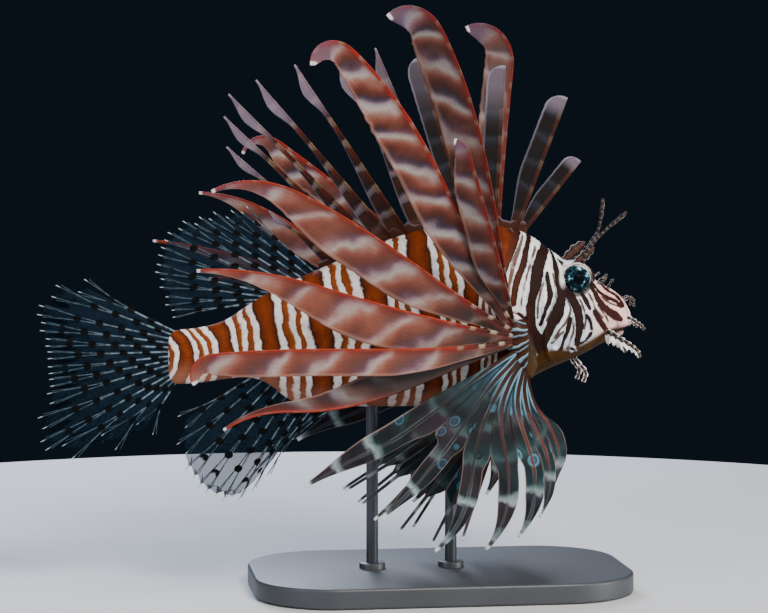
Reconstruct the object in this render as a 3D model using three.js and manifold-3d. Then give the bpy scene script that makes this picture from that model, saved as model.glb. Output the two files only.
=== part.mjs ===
// Red lionfish, life size, as a still display model: swimming to +X with every fin spread.
// Millimetres, +Z up, the fish's right side towards -Y. The origin is the centre of the
// underside of the display base.
import * as THREE from 'three';
import { mergeVertices } from 'three/addons/utils/BufferGeometryUtils.js';
import Module from 'manifold-3d';

const wasm = await Module();
wasm.setup();

// Driving dimensions
const seam = 0.3;
const fineness = 0.05;
const headJoint = 46;
const tailJoint = -96;
const tailEnd = -132;
const snoutTip = 97.5;
const membrane = 0.55;
const bladeRidge = 1.5;
const spineRidge = 2.2;
const bodySides = 20;
const flatness = { trunk: 0.9, head: 0.62, from: 40, to: 62 };
const eye = { x: 67.6, y: 12.4, z: 155.8, radius: 7 };
const orbit = { y: 8.8, size: [10.8, 8.6, 8.6], ring: 6.9, out: 2.9, lid: 1.3 };
const mouth = { corner: [83.5, 128.8], upper: [101, 136.2], lower: [101, 131.2], throat: [60, 98] };
const lip = 1.2;
const lipLines = {
  upper: { places: [[84, 130.4], [88, 132.8], [92, 134.6], [95, 135.8]], front: [96.6, 136.4] },
  lower: { places: [[84.6, 127.6], [88, 128.4], [91.5, 129.2], [94, 129.9]], front: [95.4, 130.3] },
};
const base = { length: 190, width: 118, height: 10, corner: 40, edge: 1.5 };
const rod = { radius: 3, sunk: 5, collar: 6.5, collarHeight: 3 };
const rodPlaces = { stand_rod_front: 6, stand_rod_rear: -34 };

// The body station by station: place along it, back, belly, half width
const bodyStations = [
  [-134, 131.0, 104.0, 3.4],
  [-120, 132.4, 104.8, 4.9],
  [-108, 135.6, 106.4, 6.6],
  [-96, 143.2, 107.2, 8.8],
  [-86, 149.4, 103.6, 11.0],
  [-75, 154.6, 95.4, 13.2],
  [-58, 162.0, 92.4, 16.2],
  [-40, 169.6, 91.8, 18.8],
  [-20, 177.2, 91.6, 21.0],
  [0, 181.8, 91.6, 22.6],
  [18, 182.8, 93.8, 23.8],
  [34, 181.2, 98.6, 24.4],
  [46, 177.0, 104.4, 24.2],
  [56, 169.6, 108.6, 23.0],
  [66, 163.4, 112.0, 20.4],
  [74, 158.0, 114.8, 16.8],
  [82, 152.6, 119.0, 12.8],
  [89, 148.8, 123.2, 9.6],
  [94, 144.2, 126.6, 7.2],
  [97.5, 138.2, 130.2, 4.0],
];

// Spines of the back: place of the root, heading from +X, length, width of the membrane. A
// paddle is widest towards the tip, a flag narrows to a waist below its tip.
const backSpines = [
  { x: 43, heading: 51, length: 46, width: 7, shape: 'paddle' },
  { x: 39.5, heading: 69, length: 71, width: 9, shape: 'paddle' },
  { x: 29, heading: 87, length: 80, width: 8.5, shape: 'paddle' },
  { x: 21.5, heading: 100, length: 76, width: 7.5, shape: 'paddle' },
  { x: 15.5, heading: 107.5, length: 87, width: 7.5, shape: 'paddle' },
  { x: 6, heading: 113.5, length: 96, width: 8, shape: 'flag' },
  { x: -4, heading: 119, length: 97, width: 8.5, shape: 'flag' },
  { x: -16, heading: 124, length: 101, width: 7.5, shape: 'flag' },
  { x: -23.5, heading: 131, length: 104, width: 7, shape: 'flag' },
  { x: -31, heading: 135, length: 105, width: 6.5, shape: 'flag' },
  { x: -38, heading: 136.5, length: 96, width: 6, shape: 'flag' },
  { x: -44.5, heading: 139, length: 82, width: 5, shape: 'flag' },
  { x: -52, heading: 143, length: 42, width: 4, shape: 'flag' },
];
const frontSpines = 5;
const webHeight = 6;

// Breast fin rays from top to bottom. Bend and sway turn a ray over its whole length, curl turns
// what lies past "from", splay leans it out of the middle plane. The membrane of a free blade
// has its width up to "full" and lies on the side told, behind the ray or (-1) ahead of it.
const rightRays = [
  { heading: 109, bend: -31, sway: 52, curl: 98, from: 0.83, length: 195,
    splay: [36, 6], width: 17, full: 0.82 },
  { heading: 112, bend: -2, sway: -1, curl: 60, from: 0.89, length: 118,
    splay: [44, 16], width: 12, full: 0.8 },
  { heading: 129, bend: -58, sway: 79, curl: 128, from: 0.86, length: 207,
    splay: [38, 4], width: 18, full: 0.7 },
  { heading: 153, bend: -40, sway: 54, curl: 41, from: 0.77, length: 190,
    splay: [36, 2], width: 19, full: 0.6 },
  { heading: 169, bend: -15, sway: 6, curl: 23, from: 0.63, length: 177,
    splay: [34, 0], width: 19, full: 0.5 },
  { heading: 186, bend: -36, sway: 38, curl: 120, from: 0.89, length: 191,
    splay: [36, 4], width: 12, full: 0.86 },
  { heading: 191, bend: 53, sway: -90, curl: 61, from: 0.78, length: 165,
    splay: [32, 2], width: 14, full: 0.42, side: -1 },
];
const leftRays = [
  { heading: 82, curl: 128, from: 0.76, length: 177, splay: [30, 4], width: 15, full: 0.8 },
  { heading: 106, bend: 6, curl: 90, from: 0.82, length: 150, splay: [42, 20], width: 12, full: 0.75 },
  { heading: 135, bend: 10, curl: 119, from: 0.85, length: 177, splay: [34, 4], width: 13, full: 0.75 },
  { heading: 161, bend: -20, curl: 38, from: 0.7, length: 176, splay: [34, 2], width: 12, full: 0.7 },
  { heading: 168, bend: -9, curl: 16, from: 0.66, length: 190, splay: [32, 0], width: 10, full: 0.6 },
  { heading: 174, bend: -13, curl: 29, from: 0.8, length: 160, splay: [34, 6], width: 11, full: 0.6 },
  { heading: 200, bend: 4, curl: 10, from: 0.8, length: 126,
    splay: [38, 8], width: 11, full: 0.6, side: -1 },
];
const lowerRays = [
  { heading: 200, bend: 69, sway: -90, curl: 32, from: 0.73, length: 139, splay: [36, 4] },
  { heading: 215, bend: 31, sway: 41, curl: -66, from: 0.35, length: 114, splay: [34, 0] },
  { heading: 219, bend: 66, sway: 4, curl: -71, from: 0.61, length: 113, splay: [36, -4] },
  { heading: 220, bend: 90, sway: 90, curl: -170, from: 0.45, length: 104, splay: [38, -8] },
  { heading: 236, bend: 90, sway: 90, curl: -181, from: 0.4, length: 93, splay: [42, -10] },
  { heading: 245, bend: 90, sway: 90, curl: -184, from: 0.39, length: 81, splay: [46, -12] },
  { heading: 259, bend: 90, sway: 61, curl: -168, from: 0.37, length: 65, splay: [50, -14] },
];
const leftShorter = 0.9;
const lowerWeb = 0.58;
const breastRoot = { top: [33, 24.5, 136.5], bottom: [41, 22, 110], lobe: [7, 5, 17] };
const breastCuts = [3, 7];
const rayFlare = 4.6;
const upperFlare = 8;

const pelvicRoot = [30, 9, 99];
const pelvicSplay = [16, 11];
const pelvicRays = [[209, 96], [215, 95], [221, 94], [229, 91], [240, 87], [249, 79]];

// Fans in the middle plane: first and last root, then heading and length of each ray
const softDorsal = {
  from: [-64, 160],
  to: [-94, 144],
  rays: [[138, 46], [142, 49], [145, 54], [148, 57], [151, 61], [156, 63], [161, 61], [167, 58],
    [172, 52], [180, 46], [187, 40]],
};
const analFin = {
  from: [-51, 93],
  to: [-93, 108],
  rays: [[212, 29], [222, 36], [232, 47], [236, 56], [238, 63], [236, 66], [232, 66], [227, 62],
    [220, 54], [212, 43]],
};
const tailFin = {
  from: [-132, 130],
  to: [-132, 105],
  rays: [[153, 52], [159, 64], [167, 70], [172, 67], [177, 64], [181, 63], [186, 63], [190, 63],
    [195, 65], [202, 73], [209, 75], [215, 66], [223, 46], [236, 28]],
};

// Feelers over the eyes: root, then heading and length of each bend, and the leaf at the foot
const tentacles = {
  tentacle_right: { root: [70.5, -10.5, 161], bends: [[72, 9], [48, 13], [40, 15]],
    foot: { from: [65.5, 161.5], heading: 40, length: 15, halfWidth: 2.4 } },
  tentacle_left: { root: [69.5, 9, 161], bends: [[48, 12], [60, 12], [82, 15]],
    foot: { from: [64.5, 162.5], heading: 42, length: 16, halfWidth: 3 } },
};
const tentacleRadius = 1.5;

// Flaps and feelers of the face, each from a root in the skin: places along the body, heights
// and how far they stand off the middle plane
const faceFeelers = [
  // over the mouth
  {
   
    path: [[84, 134, 9.6], [87, 131, 14], [89, 127.4, 15], [94.6, 123.4, 15.4], [100.2, 119.6, 15.6],
      [103, 113.8, 15.6]],
    radius: 1.3,
    lappets: 3,
  },
  // on the lip
  {
   
    path: [[92, 136.4, 5], [97, 134.6, 6.8], [101, 132, 7.4], [104, 129.4, 7.6]],
    radius: 0.9,
    lappets: 1,
  },
  // at the snout and the two nostrils
  { path: [[93, 143, 3], [96.5, 145.4, 3.6], [98.8, 144, 4], [98.8, 140.6, 4.2]], radius: 0.7 },
  { path: [[84.5, 149, 6.4], [86, 152.4, 7.4], [87.2, 154.8, 7.6]], radius: 0.8 },
  { path: [[79, 152, 7.6], [81.6, 155.6, 8.6], [84.2, 157.2, 8.8]], radius: 0.9 },
  // under the chin
  {
   
    path: [[66, 117, 5], [70, 111.2, 6.4], [73.4, 108, 7.4], [72, 103, 7.8]],
    radius: 1.1,
    lappets: 1,
  },
  // on the cheek
  { path: [[62, 121, 17.4], [65, 119.6, 20.2], [69.4, 117.8, 20.4]], radius: 1.2 },
];
// Bony ridges of the cheek and the rim of the gill cover, as places along the body and heights
const faceRidges = [
  { path: [[51.4, 166], [49, 152], [48.6, 136], [51, 120], [56.5, 111.6]], radius: 1.3 },
  { path: [[60.5, 147], [57, 136], [57.4, 124], [63.5, 116.4]], radius: 1.1 },
];
const cheekSpines = { places: [[57.4, 136], [57, 129], [58.4, 122]], rise: 2.4, length: 4, radius: 1 };
const nostrils = { places: [[82.4, 150.4], [77.6, 154]], radius: 0.9 };

// How finely the fins are divided along their length
const bladeRows = [0, 0.12, 0.28, 0.48, 0.66, 0.78, 0.86, 0.93, 1];
const fanRows = [0, 0.15, 0.38, 0.62, 0.82, 1];
const straightRows = [0, 0.3, 0.7, 1];
const partedRows = [0, 0.2, 0.4, 0.58, 0.68, 0.8, 0.91, 1];
const notch = 0.9;

const finish = (color, roughness) => new THREE.MeshStandardMaterial({ color, roughness, metalness: 0 });
const finishes = {
  skin: finish('#a5572f', 0.45),
  blade: finish('#a8503f', 0.5),
  spine: finish('#7a3a2c', 0.5),
  clear: finish('#3b4a5c', 0.4),
  eye: finish('#15323c', 0.1),
  stand: finish('#3a3d42', 0.4),
};

const { degToRad, radToDeg, lerp, clamp } = THREE.MathUtils;
const eased = (low, high, value) => THREE.MathUtils.smoothstep(value, low, high);
const vector = (x, y, z) => new THREE.Vector3(x, y, z);
const inPlane = (turn) => vector(Math.cos(turn), 0, Math.sin(turn));

// A closed solid from points and triangles, turned so that its faces point out
function closedSolid(points, faces) {
  let volume = 0;
  faces.forEach(([a, b, c]) => {
    volume += points[a].dot(vector().crossVectors(points[b], points[c]));
  });
  const turned = volume < 0 ? faces.map(([a, b, c]) => [a, c, b]) : faces;
  return new wasm.Manifold(new wasm.Mesh({
    numProp: 3,
    vertProperties: new Float32Array(points.flatMap((point) => point.toArray())),
    triVerts: new Uint32Array(turned.flat()),
  }));
}

function geometrySolid(geometry) {
  const bare = geometry.clone();
  bare.deleteAttribute('normal');
  bare.deleteAttribute('uv');
  const merged = mergeVertices(bare, 1e-4);
  const place = merged.getAttribute('position');
  const points = Array.from({ length: place.count }, (_, i) => vector().fromBufferAttribute(place, i));
  const faces = [];
  for (let i = 0; i < merged.index.count; i += 3) {
    faces.push([0, 1, 2].map((corner) => merged.index.getX(i + corner)));
  }
  return closedSolid(points, faces);
}

// A skin over rings of equal point count, each end closed by a fan of triangles
function loft(rings) {
  const sides = rings[0].length;
  const points = rings.flat();
  const faces = [];
  for (let i = 0; i < rings.length - 1; i += 1) {
    for (let j = 0; j < sides; j += 1) {
      const a = i * sides + j;
      const b = i * sides + ((j + 1) % sides);
      faces.push([a, b, a + sides], [b, b + sides, a + sides]);
    }
  }
  [0, rings.length - 1].forEach((end) => {
    const middle = rings[end].reduce((sum, point) => sum.add(point), vector()).divideScalar(sides);
    points.push(middle);
    for (let j = 0; j < sides; j += 1) {
      const a = end * sides + j;
      const b = end * sides + ((j + 1) % sides);
      faces.push(end === 0 ? [b, a, points.length - 1] : [a, b, points.length - 1]);
    }
  });
  return closedSolid(points, faces);
}

// A thin sheet of uneven thickness over a grid of { at, out, half }, split alike on both faces.
// A square of the grid that isn't kept is left open.
function plate(grid, kept = () => true) {
  const columns = grid[0].length;
  const under = grid.length * columns;
  const points = [1, -1].flatMap((face) => grid.flatMap((row) => row.map(
    ({ at, out, half }) => at.clone().addScaledVector(out, face * half),
  )));
  const upper = [];
  for (let i = 0; i < grid.length - 1; i += 1) {
    for (let j = 0; j < columns - 1; j += 1) {
      const a = i * columns + j;
      const c = a + columns;
      if (kept(i, j)) upper.push([a, a + 1, c], [a + 1, c + 1, c]);
    }
  }
  const edges = upper.flatMap(([a, b, c]) => [[a, b], [b, c], [c, a]]);
  const known = new Set(edges.map(([from, to]) => `${from} ${to}`));
  const rim = edges.filter(([from, to]) => !known.has(`${to} ${from}`));
  return closedSolid(points, [
    ...upper,
    ...upper.map(([a, b, c]) => [under + a, under + c, under + b]),
    ...rim.flatMap(([from, to]) => [[to, from, under + from], [to, under + from, under + to]]),
  ]);
}

// A round rod along a curve, its radius given by the way along
function tube(curve, radiusAt, rows, sides) {
  return loft(Array.from({ length: rows + 1 }, (_, i) => {
    const t = i / rows;
    const along = curve.getTangent(t);
    const up = vector(0, 1, 0).cross(along).normalize();
    const across = vector().crossVectors(along, up);
    return Array.from({ length: sides }, (_side, k) => {
      const turn = (k / sides) * 2 * Math.PI;
      return curve.getPoint(t)
        .addScaledVector(across, Math.cos(turn) * radiusAt(t))
        .addScaledVector(up, Math.sin(turn) * radiusAt(t));
    });
  }));
}

const joined = (solids) => solids.reduce((sum, solid) => sum.add(solid));

// The body's section at any place along it, smooth through the stations
function section(x) {
  const last = bodyStations.length - 1;
  let k = 0;
  while (k < last - 1 && x > bodyStations[k + 1][0]) k += 1;
  const [before, low, high, after] = [-1, 0, 1, 2].map((step) => bodyStations[clamp(k + step, 0, last)]);
  const span = high[0] - low[0];
  const t = clamp((x - low[0]) / span, 0, 1);
  const [top, bottom, half] = [1, 2, 3].map((column) => {
    const leave = ((high[column] - before[column]) / (high[0] - before[0])) * span;
    const arrive = ((after[column] - low[column]) / (after[0] - low[0])) * span;
    return (2 * t ** 3 - 3 * t ** 2 + 1) * low[column] + (t ** 3 - 2 * t ** 2 + t) * leave
      + (3 * t ** 2 - 2 * t ** 3) * high[column] + (t ** 3 - t ** 2) * arrive;
  });
  const flat = lerp(flatness.trunk, flatness.head, eased(flatness.from, flatness.to, x));
  return { top, bottom, half, flat, middle: (top + bottom) / 2, rise: (top - bottom) / 2 };
}

// A length of the body, grown all round where something else has to stay clear of it
function bodyLength(places, grow = 0) {
  return loft(places.map((x) => {
    const { middle, rise, half, flat } = section(x);
    return Array.from({ length: bodySides }, (_side, k) => {
      const turn = (k / bodySides) * 2 * Math.PI;
      const wide = Math.sign(Math.sin(turn)) * Math.abs(Math.sin(turn)) ** flat;
      return vector(x, (half + grow) * wide, middle + (rise + grow) * Math.cos(turn));
    });
  }));
}

// A point of the skin on one flank (-1 right, 1 left) at a given height
function skinPoint(x, z, flank, proud = 0) {
  const { middle, rise, half, flat } = section(x);
  const level = clamp((z - middle) / rise, -1, 1);
  return vector(x, flank * (half * Math.sqrt(1 - level ** 2) ** flat + proud), z);
}

// A fin ray's line. It starts along its heading and leaves the middle plane by its splay.
function rayCurve(root, ray, flank = 1) {
  const { heading, bend = 0, sway = 0, curl = 0, from = 0.8, length, splay = [0, 0] } = ray;
  const steps = 40;
  const at = root.clone();
  const points = [at.clone()];
  for (let i = 0; i < steps; i += 1) {
    const t = (i + 0.5) / steps;
    const past = Math.max(0, (t - from) / (1 - from));
    const turn = degToRad(heading + bend * t + sway * t ** 2 + curl * past ** 1.3);
    const out = degToRad(lerp(splay[0], splay[1], t));
    const flat = Math.cos(out);
    const step = vector(flat * Math.cos(turn), flank * Math.sin(out), flat * Math.sin(turn));
    points.push(at.addScaledVector(step, length / steps).clone());
  }
  return new THREE.CatmullRomCurve3(points);
}

// A free ray with membrane along one of its edges
const bladeShapes = {
  feather: (t, full) => lerp(0.16, 1, eased(0, 0.45, t)) * lerp(1, 0.05, eased(full, 1.02, t)),
  paddle: (t) => lerp(0.35, 1, eased(0, 0.5, t)) * lerp(1, 0.1, eased(0.88, 1.02, t)),
  flag: (t) => lerp(1, 0.2, eased(0.1, 0.66, t)) + 0.4 * eased(0.72, 0.86, t) - 0.56 * eased(0.86, 1, t),
};
function blade(curve, { width, side = 1, twist = 0, ridge = bladeRidge, shape = 'feather', full = 0.7 }) {
  return plate(bladeRows.map((t) => {
    const at = curve.getPoint(t);
    const along = curve.getTangent(t);
    const across = vector(0, -side, 0).cross(along).normalize().applyAxisAngle(along, degToRad(twist));
    const out = vector().crossVectors(across, along).normalize();
    const reach = width * bladeShapes[shape](t, full);
    const strip = (offset, half) => ({ at: at.clone().addScaledVector(across, offset), out, half });
    return [strip(-0.6, 0.25), strip(0.4, lerp(ridge, 0.8, t) / 2), strip(0.8 + reach, membrane / 2)];
  }));
}

// Rays joined by a web that ends short of their tips. Past it the rays of a parted fan are free.
function fan(curves, { web, flare, ridge, rows = fanRows, parted = false }) {
  const columns = curves.flatMap((curve, k) => {
    const own = [-1, 0, 1].map((edge) => ({ k, edge }));
    return k === 0 ? own : [{ k, between: true }, ...own];
  });
  const last = curves.length - 1;
  const lines = rows.map((row) => columns.map(({ k, edge, between }) => {
    if (between) {
      const t = parted ? Math.min(row, web) * notch : row * web;
      return curves[k].getPoint(t).lerp(curves[k - 1].getPoint(t), 0.5);
    }
    const t = row * (edge === 0 || parted ? 1 : 0.97);
    const at = curves[k].getPoint(t);
    const along = curves[k].getTangent(t);
    const across = curves[Math.min(k + 1, last)].getPoint(t).sub(curves[Math.max(k - 1, 0)].getPoint(t));
    across.addScaledVector(along, -across.dot(along));
    const outer = (k === 0 && edge < 0) || (k === last && edge > 0);
    const spacing = across.length() / (k === 0 || k === last ? 1 : 2);
    const room = outer ? Infinity : spacing / (parted ? 2.3 : 2.6);
    return at.addScaledVector(across.normalize(), edge * Math.min(flare(row, k, edge), room));
  }));
  const grid = rows.map((row, i) => columns.map(({ edge }, j) => {
    const [rowBefore, rowAfter] = [lines[Math.max(i - 1, 0)], lines[Math.min(i + 1, rows.length - 1)]];
    const [left, right] = [lines[i][Math.max(j - 1, 0)], lines[i][Math.min(j + 1, columns.length - 1)]];
    const lengthwise = rowAfter[j].clone().sub(rowBefore[j]);
    const out = right.clone().sub(left).cross(lengthwise).normalize();
    const half = edge === 0 ? lerp(ridge, 0.7, row) / 2 : membrane / 2;
    return { at: lines[i][j], out, half };
  }));
  const inWeb = (i, j) => rows[i] < web || !(columns[j].between || columns[j + 1].between);
  return plate(grid, parted ? inWeb : undefined);
}

// Rays of a fan in the middle plane, their roots in a row sunk into the body's edge
function middleFan({ from, to, rays }, options) {
  const sunk = 3;
  const curves = rays.map(([heading, length], k) => {
    const f = k / (rays.length - 1);
    const turn = degToRad(heading);
    const root = vector(lerp(from[0], to[0], f), 0, lerp(from[1], to[1], f));
    root.sub(inPlane(turn).multiplyScalar(sunk));
    return rayCurve(root, { heading, length: length + sunk });
  });
  return fan(curves, options);
}

const group = new THREE.Group();
function add(name, solid, material) {
  const [largest, ...rest] = solid.decompose().sort((one, two) => two.volume() - one.volume());
  const { vertProperties, triVerts } = largest.getMesh();
  const geometry = new THREE.BufferGeometry();
  geometry.setAttribute('position', new THREE.BufferAttribute(new Float32Array(vertProperties), 3));
  geometry.setIndex(Array.from(triVerts));
  geometry.computeVertexNormals();
  const mesh = new THREE.Mesh(geometry, material);
  mesh.name = name;
  group.add(mesh);
  return rest;
}

const spaced = (from, to, steps) => Array.from({ length: steps + 1 }, (_, i) => lerp(from, to, i / steps));
const rings = {
  tail_stem: spaced(tailEnd, tailJoint - seam / 2, 7),
  trunk: spaced(tailJoint + seam / 2, headJoint - seam / 2, 28),
  head: spaced(headJoint + seam / 2, snoutTip, 16),
};

// Fins stop a seam's width short of the body
const clearOfBody = bodyLength([tailEnd - seam, ...rings.tail_stem, ...rings.trunk, ...rings.head], seam);

// Trunk and tail stem
add('trunk', bodyLength(rings.trunk).simplify(fineness), finishes.skin);
add('tail_stem', bodyLength(rings.tail_stem).simplify(fineness), finishes.skin);

// A feeler along a line, with small leaves hanging from it
function feeler(points, radius, lappets = 0) {
  const curve = new THREE.CatmullRomCurve3(points);
  const stalk = tube(curve, (t) => lerp(radius, 0.4, t), points.length + 1, 4);
  const leaves = Array.from({ length: lappets }, (_, k) => {
    const t = (k + 1) / (lappets + 0.6);
    const side = k % 2 ? 1 : -1;
    const away = curve.getTangent(t).applyAxisAngle(vector(0, 1, 0), side * 0.9);
    return leaf(curve.getPoint(t), away, 1.5 * radius + 1.2, 0.9);
  });
  return joined([stalk, ...leaves]);
}

// A small flat leaf standing edgewise, broadest in its middle
function leaf(root, along, length, halfWidth) {
  const across = vector(0, 1, 0).cross(along).normalize();
  const out = vector().crossVectors(along, across).normalize();
  return plate([[0, 0.5], [0.55, 1], [1, 0.15]].map(([t, wide]) => [-1, 1].map((edge) => ({
    at: root.clone().addScaledVector(along, t * length).addScaledVector(across, edge * wide * halfWidth),
    out,
    half: 0.3,
  }))));
}

// Head and eyes, the lower jaw parted from the head along the mouth and the throat
const ball = (size, across = 14) => geometrySolid(
  new THREE.SphereGeometry(1, across, Math.round(across * 0.65)).rotateX(Math.PI / 2).scale(...size),
);
const even = (radius) => [radius, radius, radius];
const flanks = [-1, 1];
const lipLine = ({ places, front }) => new THREE.CatmullRomCurve3([
  ...places.map(([x, z]) => skinPoint(x, z, -1, -0.4)),
  vector(front[0], 0, front[1]),
  ...places.toReversed().map(([x, z]) => skinPoint(x, z, 1, -0.4)),
]);
const beside = ([x, z]) => [x + seam, z - seam];
const mouthOutline = [
  mouth.upper, mouth.corner, mouth.throat, beside(mouth.throat), beside(mouth.corner), mouth.lower,
];
const mouthCut = geometrySolid(new THREE.ExtrudeGeometry(
  new THREE.Shape(mouthOutline.map(([x, z]) => new THREE.Vector2(x, z))),
  { depth: 60, bevelEnabled: false },
).rotateX(Math.PI / 2).translate(0, 30, 0));
const reliefs = flanks.flatMap((flank) => [
  ball(orbit.size, 12).translate(eye.x, flank * orbit.y, eye.z),
  geometrySolid(new THREE.TorusGeometry(orbit.ring, orbit.lid, 5, 14).rotateX(Math.PI / 2))
    .translate(eye.x, flank * (eye.y + orbit.out), eye.z),
  ...faceRidges.map(({ path, radius }) => tube(
    new THREE.CatmullRomCurve3(path.map(([x, z]) => skinPoint(x, z, flank, -0.3))),
    (t) => radius * lerp(0.6, 1, Math.sin(Math.PI * t)),
    5,
    4,
  )),
  ...cheekSpines.places.map(([x, z]) => tube(
    new THREE.LineCurve3(
      skinPoint(x, z, flank, -1),
      skinPoint(x, z, flank, cheekSpines.rise).add(vector(-cheekSpines.length, 0, -1)),
    ),
    (t) => lerp(cheekSpines.radius, 0.25, t),
    1,
    4,
  )),
]);
const lips = [lipLines.upper, lipLines.lower].map((line) => tube(lipLine(line), () => lip, 12, 5));
const nostril = ball(even(nostrils.radius), 6);
const pits = flanks.flatMap((flank) => [
  ball(even(eye.radius + seam)).translate(eye.x, flank * eye.y, eye.z),
  ...nostrils.places.map(([x, z]) => nostril.translate(skinPoint(x, z, flank).toArray())),
]);
const [skull, jaw] = joined([bodyLength(rings.head), ...reliefs, ...lips])
  .subtract(joined([...pits, mouthCut]))
  .decompose()
  .sort((one, two) => two.volume() - one.volume());
const feelers = flanks.flatMap((flank) => faceFeelers.map(({ path, radius, lappets }) => (
  feeler(path.map(([x, z, y]) => vector(x, flank * y, z)), radius, lappets)
)));
add('head', joined([skull, ...feelers]).simplify(fineness), finishes.skin);
add('lower_jaw', jaw.simplify(fineness), finishes.skin);
[['eye_right', -1], ['eye_left', 1]].forEach(([name, flank]) => {
  add(name, ball(even(eye.radius)).translate(eye.x, flank * eye.y, eye.z), finishes.eye);
});

// Feelers over the eyes, each with a broad leaf at its foot
const headSkin = joined([bodyLength(rings.head, seam), ...flanks.map((flank) => (
  ball(orbit.size.map((size) => size + seam)).translate(eye.x, flank * orbit.y, eye.z)
))]);
Object.entries(tentacles).forEach(([name, { root, bends, foot }]) => {
  const points = [vector(...root)];
  bends.forEach(([heading, length]) => {
    const turn = degToRad(heading);
    points.push(points.at(-1).clone().add(inPlane(turn).multiplyScalar(length)));
  });
  const footRoot = vector(foot.from[0], root[1], foot.from[1]);
  const footLeaf = leaf(footRoot, inPlane(degToRad(foot.heading)), foot.length, foot.halfWidth);
  add(name, feeler(points, tentacleRadius, 6).add(footLeaf).subtract(headSkin), finishes.spine);
});

// The back's spines in two nodes, each joined along its foot by a low web
const spineBlades = backSpines.map(({ x, heading, length, width, shape }) => {
  const sunk = 5;
  const root = vector(x, 0, section(x).top).sub(inPlane(degToRad(heading)).multiplyScalar(sunk));
  const curve = rayCurve(root, { heading, length: length + sunk });
  return blade(curve, { width, shape, ridge: spineRidge });
});
function footWeb(fromX, toX) {
  const steps = 8;
  return plate([-4, webHeight].map((lift) => Array.from({ length: steps + 1 }, (_, k) => {
    const x = lerp(fromX, toX, k / steps);
    return { at: vector(x, 0, section(x).top + lift), out: vector(0, -1, 0), half: membrane / 2 };
  })));
}
const split = (backSpines[frontSpines - 1].x + backSpines[frontSpines].x) / 2 - 2.2;
const spineNodes = {
  spiny_dorsal_front: [...spineBlades.slice(0, frontSpines), footWeb(44.5, split + seam / 2)],
  spiny_dorsal_rear: [...spineBlades.slice(frontSpines), footWeb(split - seam / 2, -61)],
};
Object.entries(spineNodes).forEach(([name, pieces]) => {
  add(name, joined(pieces).subtract(clearOfBody), finishes.spine);
});

// Soft fins in the middle plane
const slim = (row) => lerp(0.8, 0.3, row);
const clearFan = { web: 0.88, flare: slim, ridge: 1.1, rows: straightRows };
add('soft_dorsal_fin', middleFan(softDorsal, clearFan).subtract(clearOfBody), finishes.clear);
add('anal_fin', middleFan(analFin, clearFan).subtract(clearOfBody), finishes.clear);
add('caudal_fin', middleFan(tailFin, clearFan).subtract(clearOfBody), finishes.clear);

// Breast fins: free blades above, webbed rays below, all rooted in one lobe on the flank and
// parted into three nodes by cuts that run out between the rays
function breastFin(side, flank, freeRays, webRays) {
  const all = [...freeRays, ...webRays];
  const place = ([x, y, z]) => vector(x, flank * y, z);
  const [top, bottom] = [place(breastRoot.top), place(breastRoot.bottom)];
  const rootAt = (k) => top.clone().lerp(bottom, k / (all.length - 1));
  const curves = all.map((ray, k) => rayCurve(rootAt(k), ray, flank));
  const free = freeRays.map((ray, k) => blade(curves[k], ray));
  const webbed = fan(curves.slice(freeRays.length), lowerFan);
  const lean = Math.atan2(bottom.x - top.x, top.z - bottom.z);
  const lobe = ball(breastRoot.lobe, 16).rotate([0, radToDeg(lean), 0])
    .translate(top.clone().lerp(bottom, 0.5).toArray());
  const cuts = breastCuts.flatMap((k) => {
    const at = rootAt(k - 0.5);
    const aim = curves[k - 1].getPoint(0.5).lerp(curves[k].getPoint(0.5), 0.5).sub(at);
    return [Math.atan2(aim.z, aim.x), 0].map((heading) => slab(at, heading, heading ? 300 : 30));
  });
  const pieces = joined([lobe, ...free, webbed]).subtract(joined([clearOfBody, ...cuts])).decompose()
    .sort((one, two) => two.volume() - one.volume())
    .slice(0, 3)
    .sort((one, two) => two.boundingBox().max[2] - one.boundingBox().max[2]);
  ['upper', 'middle', 'lower'].forEach((part, k) => {
    add(`pectoral_${side}_${part}`, pieces[k], finishes.blade);
  });
}
// A cut a seam wide through everything on its way, from a place along a heading
function slab(at, heading, length) {
  return geometrySolid(new THREE.BoxGeometry(length, 400, seam)
    .translate(length / 2 - seam, 0, 0).rotateY(-heading).translate(at.x, 0, at.z));
}
function lowerFlare(row, k, edge) {
  const free = k === 0 && edge < 0;
  const swell = eased(free ? 0.1 : 0.34, 0.6, row) * lerp(1, 0.06, eased(0.7, 1, row));
  return (free ? upperFlare : rayFlare) * swell + 0.6;
}
const lowerFan = { web: lowerWeb, flare: lowerFlare, ridge: bladeRidge, rows: partedRows, parted: true };
const leftLowerRays = lowerRays.map((ray) => ({ ...ray, length: ray.length * leftShorter }));
breastFin('right', -1, rightRays, lowerRays);
breastFin('left', 1, leftRays, leftLowerRays);

// Belly fins
[['pelvic_fin_right', -1], ['pelvic_fin_left', 1]].forEach(([name, flank]) => {
  const curves = pelvicRays.map(([heading, length], k) => {
    const root = vector(pelvicRoot[0] + k * 0.9, flank * pelvicRoot[1], pelvicRoot[2]);
    return rayCurve(root, { heading, length, splay: pelvicSplay }, flank);
  });
  const flare = (row) => lerp(0.5, 1.2, eased(0, 0.5, row)) * lerp(1, 0.3, row);
  const solid = fan(curves, { web: 0.72, flare, ridge: 1.4, rows: straightRows });
  add(name, solid.subtract(clearOfBody), finishes.blade);
});

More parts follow.
